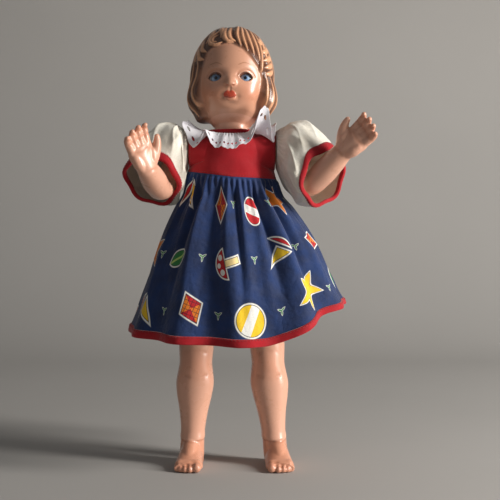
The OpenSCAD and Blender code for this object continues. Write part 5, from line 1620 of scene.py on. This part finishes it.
def skirt_folds(a, v):
    """Gathers sewn into the waist, which run together into soft folds lower down."""
    # The skirt lies flat where the arm at rest comes near it
    pressed = 0.9 * swell(wrapped(a - 169), 13)
    fine = hump(52 * a + 50 * sn(4 * a)) * smooth(0.0, 0.03, v) * smooth(0.3, 0.04, v)
    middle = hump(26 * a + 40 * sn(3 * a) + 60) ** 1.5 * smooth(0.03, 0.12, v) * smooth(0.95, 0.2, v)
    soft = hump(19 * a + 60 * sn(2 * a) + 30 * v) ** 2 * smooth(0.2, 0.6, v) * smooth(1.0, 0.8, v)
    inward = (2.8 * smooth(0.06, 0.2, v) * smooth(1.0, 0.85, v)
              + 1.1 * pressed * smooth(0, 0.04, v) * smooth(0.3, 0.1, v))
    total = (1.6 * fine + 2.4 * middle) * (1 - pressed) + 1.7 * soft - inward
    for turn, drift, depth, width in VALLEYS:
        gap = wrapped(a - turn - drift * v)
        crease = np.exp(0.35 - np.sqrt((gap / (width * (0.7 + 0.45 * v))) ** 2 + 0.1225))
        total = total - 1.15 * depth * crease * smooth(0.02, 0.16, v) * smooth(1.15, 0.45, v)
    return total


def hang_skirt(obj, side, *nodes):
    """Passes a half of the skirt to hang with a line along the leg on its side; hang bakes its place, and
    nothing rises with the leg.
    """
    way = unit(sided(side, SKIRT_WAY))
    hang(obj, f"{SIDES[side]}_leg", way * SKIRT_STAYS, way * SKIRT_FOLLOWS, *nodes)


def close_ring(columns):
    return np.concatenate([columns, columns[:, :1]], 1)


def build_skirt():
    """The skirt and the folded binding of its hem, each in two halves, one on the side of each leg."""
    per_half, rows = ((250, 66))
    a, v = np.meshgrid(np.linspace(-90, 270, 2 * per_half + 1), np.linspace(0, 1, rows) ** 1.25 * HEM_FROM)
    folds = skirt_folds(a, v)
    outer, inner = (close_ring(skirt_point(a, v, out)[:, :-1]) for out in (CLOTH + folds, folds * 0.9))
    facing = normals_of(outer[:, :-1], True)
    facing = close_ring(facing * outward(facing, outer[:, :-1]))
    u = (a + 90) / 360 * SKIRT_FLAT
    turn = np.linspace(-90, 270, 2 * HEM_HALF + 1)
    hold = 0.5 * skirt_folds(turn, np.full_like(turn, HEM_FROM))

    def hem_line(out, share):
        return skirt_point(turn, np.full_like(turn, lerp(HEM_FROM, 1.0, share)), out + hold)

    rings = np.array([hem_line(out + 0.12 * sn(60 * turn + 120 * share), share)
                      for out, share in HEM_SECTION])
    looped = np.concatenate([rings[-1:], rings, rings[:1]])[:, :-1]
    hem_facing = normals_of(looped, True)[1:-1]
    hem_facing = close_ring(hem_facing * outward(hem_facing[2], rings[2, :-1]))
    seam, seam_facing = hem_line(1.82, 0.16), np.stack([cs(turn), sn(turn), 0 * turn], -1)
    for side, name in SIDES.items():
        half = int(side == RIGHT)
        cut = np.s_[:, half * per_half:(half + 1) * per_half + 1]
        hem_cut = slice(half * HEM_HALF, (half + 1) * HEM_HALF + 1)
        obj = shell(f"skirt_{name}", outer[cut], inner[cut], printed, u[cut], v[cut] * SKIRT_DEEP)
        shade_as(obj, np.stack([facing[cut], -facing[cut]]))
        hang_skirt(obj, side, "skirt")
        hem = band(f"hem_band_{name}", rings[:, hem_cut], 2.4, 1.6, False)
        shade_as(hem, hem_facing[:, hem_cut])
        hang_skirt(hem, side, "hem_binding")
        hang_skirt(stitches(f"hem_stitch_{name}", seam[hem_cut], seam_facing[hem_cut], 2.2, 1.1, 0.3), side)
        area = area_of(outer[cut])


# Stringing inside the body: where the loops end on the hooks, and how wide they lie round the wire
ARM_LOOP_X, ARM_LOOP_R = 13.6, 2.65
LEG_LOOP_X, LEG_LOOP_LIFT, LEG_LOOP_R = 5.8, 3.4, 3.3
NECK_EYE_DROP, NECK_EYE_R, NECK_EYE_TURN = 34, 6.5, 15


def build_elastic(name, middle, end, bend, body, node):
    """Half of a ribbed rubber loop: from its middle round the wire of a hook."""
    middle, end = np.asarray(middle, float), np.asarray(end, float)
    along = unit(end - middle)
    side = unit(np.array([0, 1.0, 0]) - along * along[1])
    run = np.linspace(0, 1, 14)[:, None]
    half = np.linspace(90, -90, 17)[1:-1, None]
    path = np.concatenate([lerp(middle, end, run) + side * bend,
                           end + along * (bend * cs(half)) + side * (bend * sn(half)),
                           lerp(end, middle, run) - side * bend])
    ribbed = 1.3 + 0.08 * np.cos(np.arange(len(path)) * 2.1)
    obj = add_mesh(name, *tube(path, ribbed, 12), cord_rubber)
    hang(obj, body, lerp(middle, end, 0.1), lerp(middle, end, 0.85), node)


def build_strings():
    for side, name in SIDES.items():
        middle, end = (sided(side, (x, *SHOULDER[1:])) for x in (0, ARM_LOOP_X))
        build_elastic(f"{name}_arm_cord", middle, end, ARM_LOOP_R, f"{name}_arm", "arm_elastic")
        hip = sided(side, (LEG_LOOP_X, HIP_Y, HIP_Z + LEG_LOOP_LIFT))
        hook = NECK + sided(side, (NECK_EYE_R * sn(NECK_EYE_TURN), 0,
                                   -NECK_EYE_DROP - NECK_EYE_R * cs(NECK_EYE_TURN)))
        middle = lerp(hip, hook, 0.5)
        for part, end, body in (("low", hip, f"{name}_leg"), ("high", hook, "neck")):
            build_elastic(f"{name}_leg_cord_{part}", middle, end, LEG_LOOP_R, body, f"{name}_leg_elastic")


def dress_solids():
    """CAD pieces that keep their own shape."""
    hooks = ["neck_hook", "eye_axle", "eye_bridge"]
    hooks += [f"{name}_{limb}_hook" for name in SIDES.values() for limb in ("arm", "leg")]
    finishes = {"torso_shell": skin_plain, "eye_weight": lead, **dict.fromkeys(hooks, steel)}
    for node, material in finishes.items():
        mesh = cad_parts[node].data
        mesh.materials.clear()
        mesh.materials.append(material)


# Studio: a pale floor that sweeps up into a backdrop, one key light, soft fill and the camera

STAGE_HALF, STAGE_BACK, STAGE_CURVE, STAGE_HIGH, STAGE_DROP = 7.0, 0.7, 0.6, 2.4, 0.0004
DOLL_MIDDLE = (-0.01, 0, 0.24)
# Focal length of the photograph's camera, and the photograph's width, in pixels
FOCAL_PX, PHOTO_PX = 1064, 500


def build_stage():
    material, tree, shader = new_material("backdrop_paper", Specular_IOR_Level=0.1)
    finish(shader, mix(patches(tree, 3, 3, 0.3, 0.7) * 0.3, srgb(178, 175, 171), srgb(170, 167, 163)), 0.9)
    profile = [(-STAGE_HALF, 0.0), (-1.0, 0.0), (0.3, 0.0), (STAGE_BACK, 0.0)]
    profile += [(STAGE_BACK + STAGE_CURVE * sn(t), STAGE_CURVE * (1 - cs(t))) for t in np.arange(6, 91, 6)]
    profile += [(STAGE_BACK + STAGE_CURVE, z) for z in (1.4, STAGE_HIGH)]
    x = np.linspace(-STAGE_HALF, STAGE_HALF, 29)
    points = np.array([[(k, y, z - STAGE_DROP) for k in x] for y, z in profile]) * 1000 - BODY
    faces, _, _ = grid(len(profile), len(x))
    add_mesh("backdrop", points.reshape(-1, 3), faces, material, fix=False)


def add_light(name, place, size, power, colour):
    light = bpy.data.lights.new(name, "AREA")
    light.shape = "RECTANGLE"
    light.size, light.size_y = size
    light.energy = power
    light.color = colour
    obj = add_object(name, light)
    obj.location = place
    obj.rotation_euler = (Vector(DOLL_MIDDLE) - Vector(place)).to_track_quat("-Z", "Y").to_euler()


def add_surroundings():
    world = bpy.data.worlds.new("studio")
    bpy.context.scene.world = world
    world.use_nodes = True
    colour, strength = world.node_tree.nodes["Background"].inputs[:2]
    colour.default_value = (0.96, 0.98, 1.0, 1)
    strength.default_value = 0.15


def add_camera():
    """The photograph's camera: square on, with the doll off the middle of the picture."""
    camera = bpy.data.cameras.new("camera")
    camera.sensor_width = 36
    camera.lens = FOCAL_PX / PHOTO_PX * camera.sensor_width
    camera.shift_x = 0.036
    camera.shift_y = -0.095
    obj = add_object("camera", camera)
    obj.location = (-0.015, -1.1, 0.27)
    obj.rotation_euler = (math.pi / 2, 0, 0)
    bpy.context.scene.camera = obj
    bpy.context.scene.view_settings.view_transform = "Standard"


build_head()
for side in SIDES:
    build_eye(side)
    build_arm(side)
    build_leg(side)
build_collar()
for name, panel in PANELS.items():
    build_panel(name, *panel)
build_neck_band()
build_buttons()
for side in SIDES:
    build_sleeve(side)
build_skirt()
build_strings()
dress_solids()
build_stage()
add_light("key", (1.5, -0.58, 0.64), (0.3, 1.3), 46, (1.0, 0.97, 0.93))
add_light("fill", (-1.3, -1.3, 0.8), (1.4, 1.4), 1.3, (1.0, 0.97, 0.94))
add_surroundings()
add_camera()

bpy.context.view_layer.update()
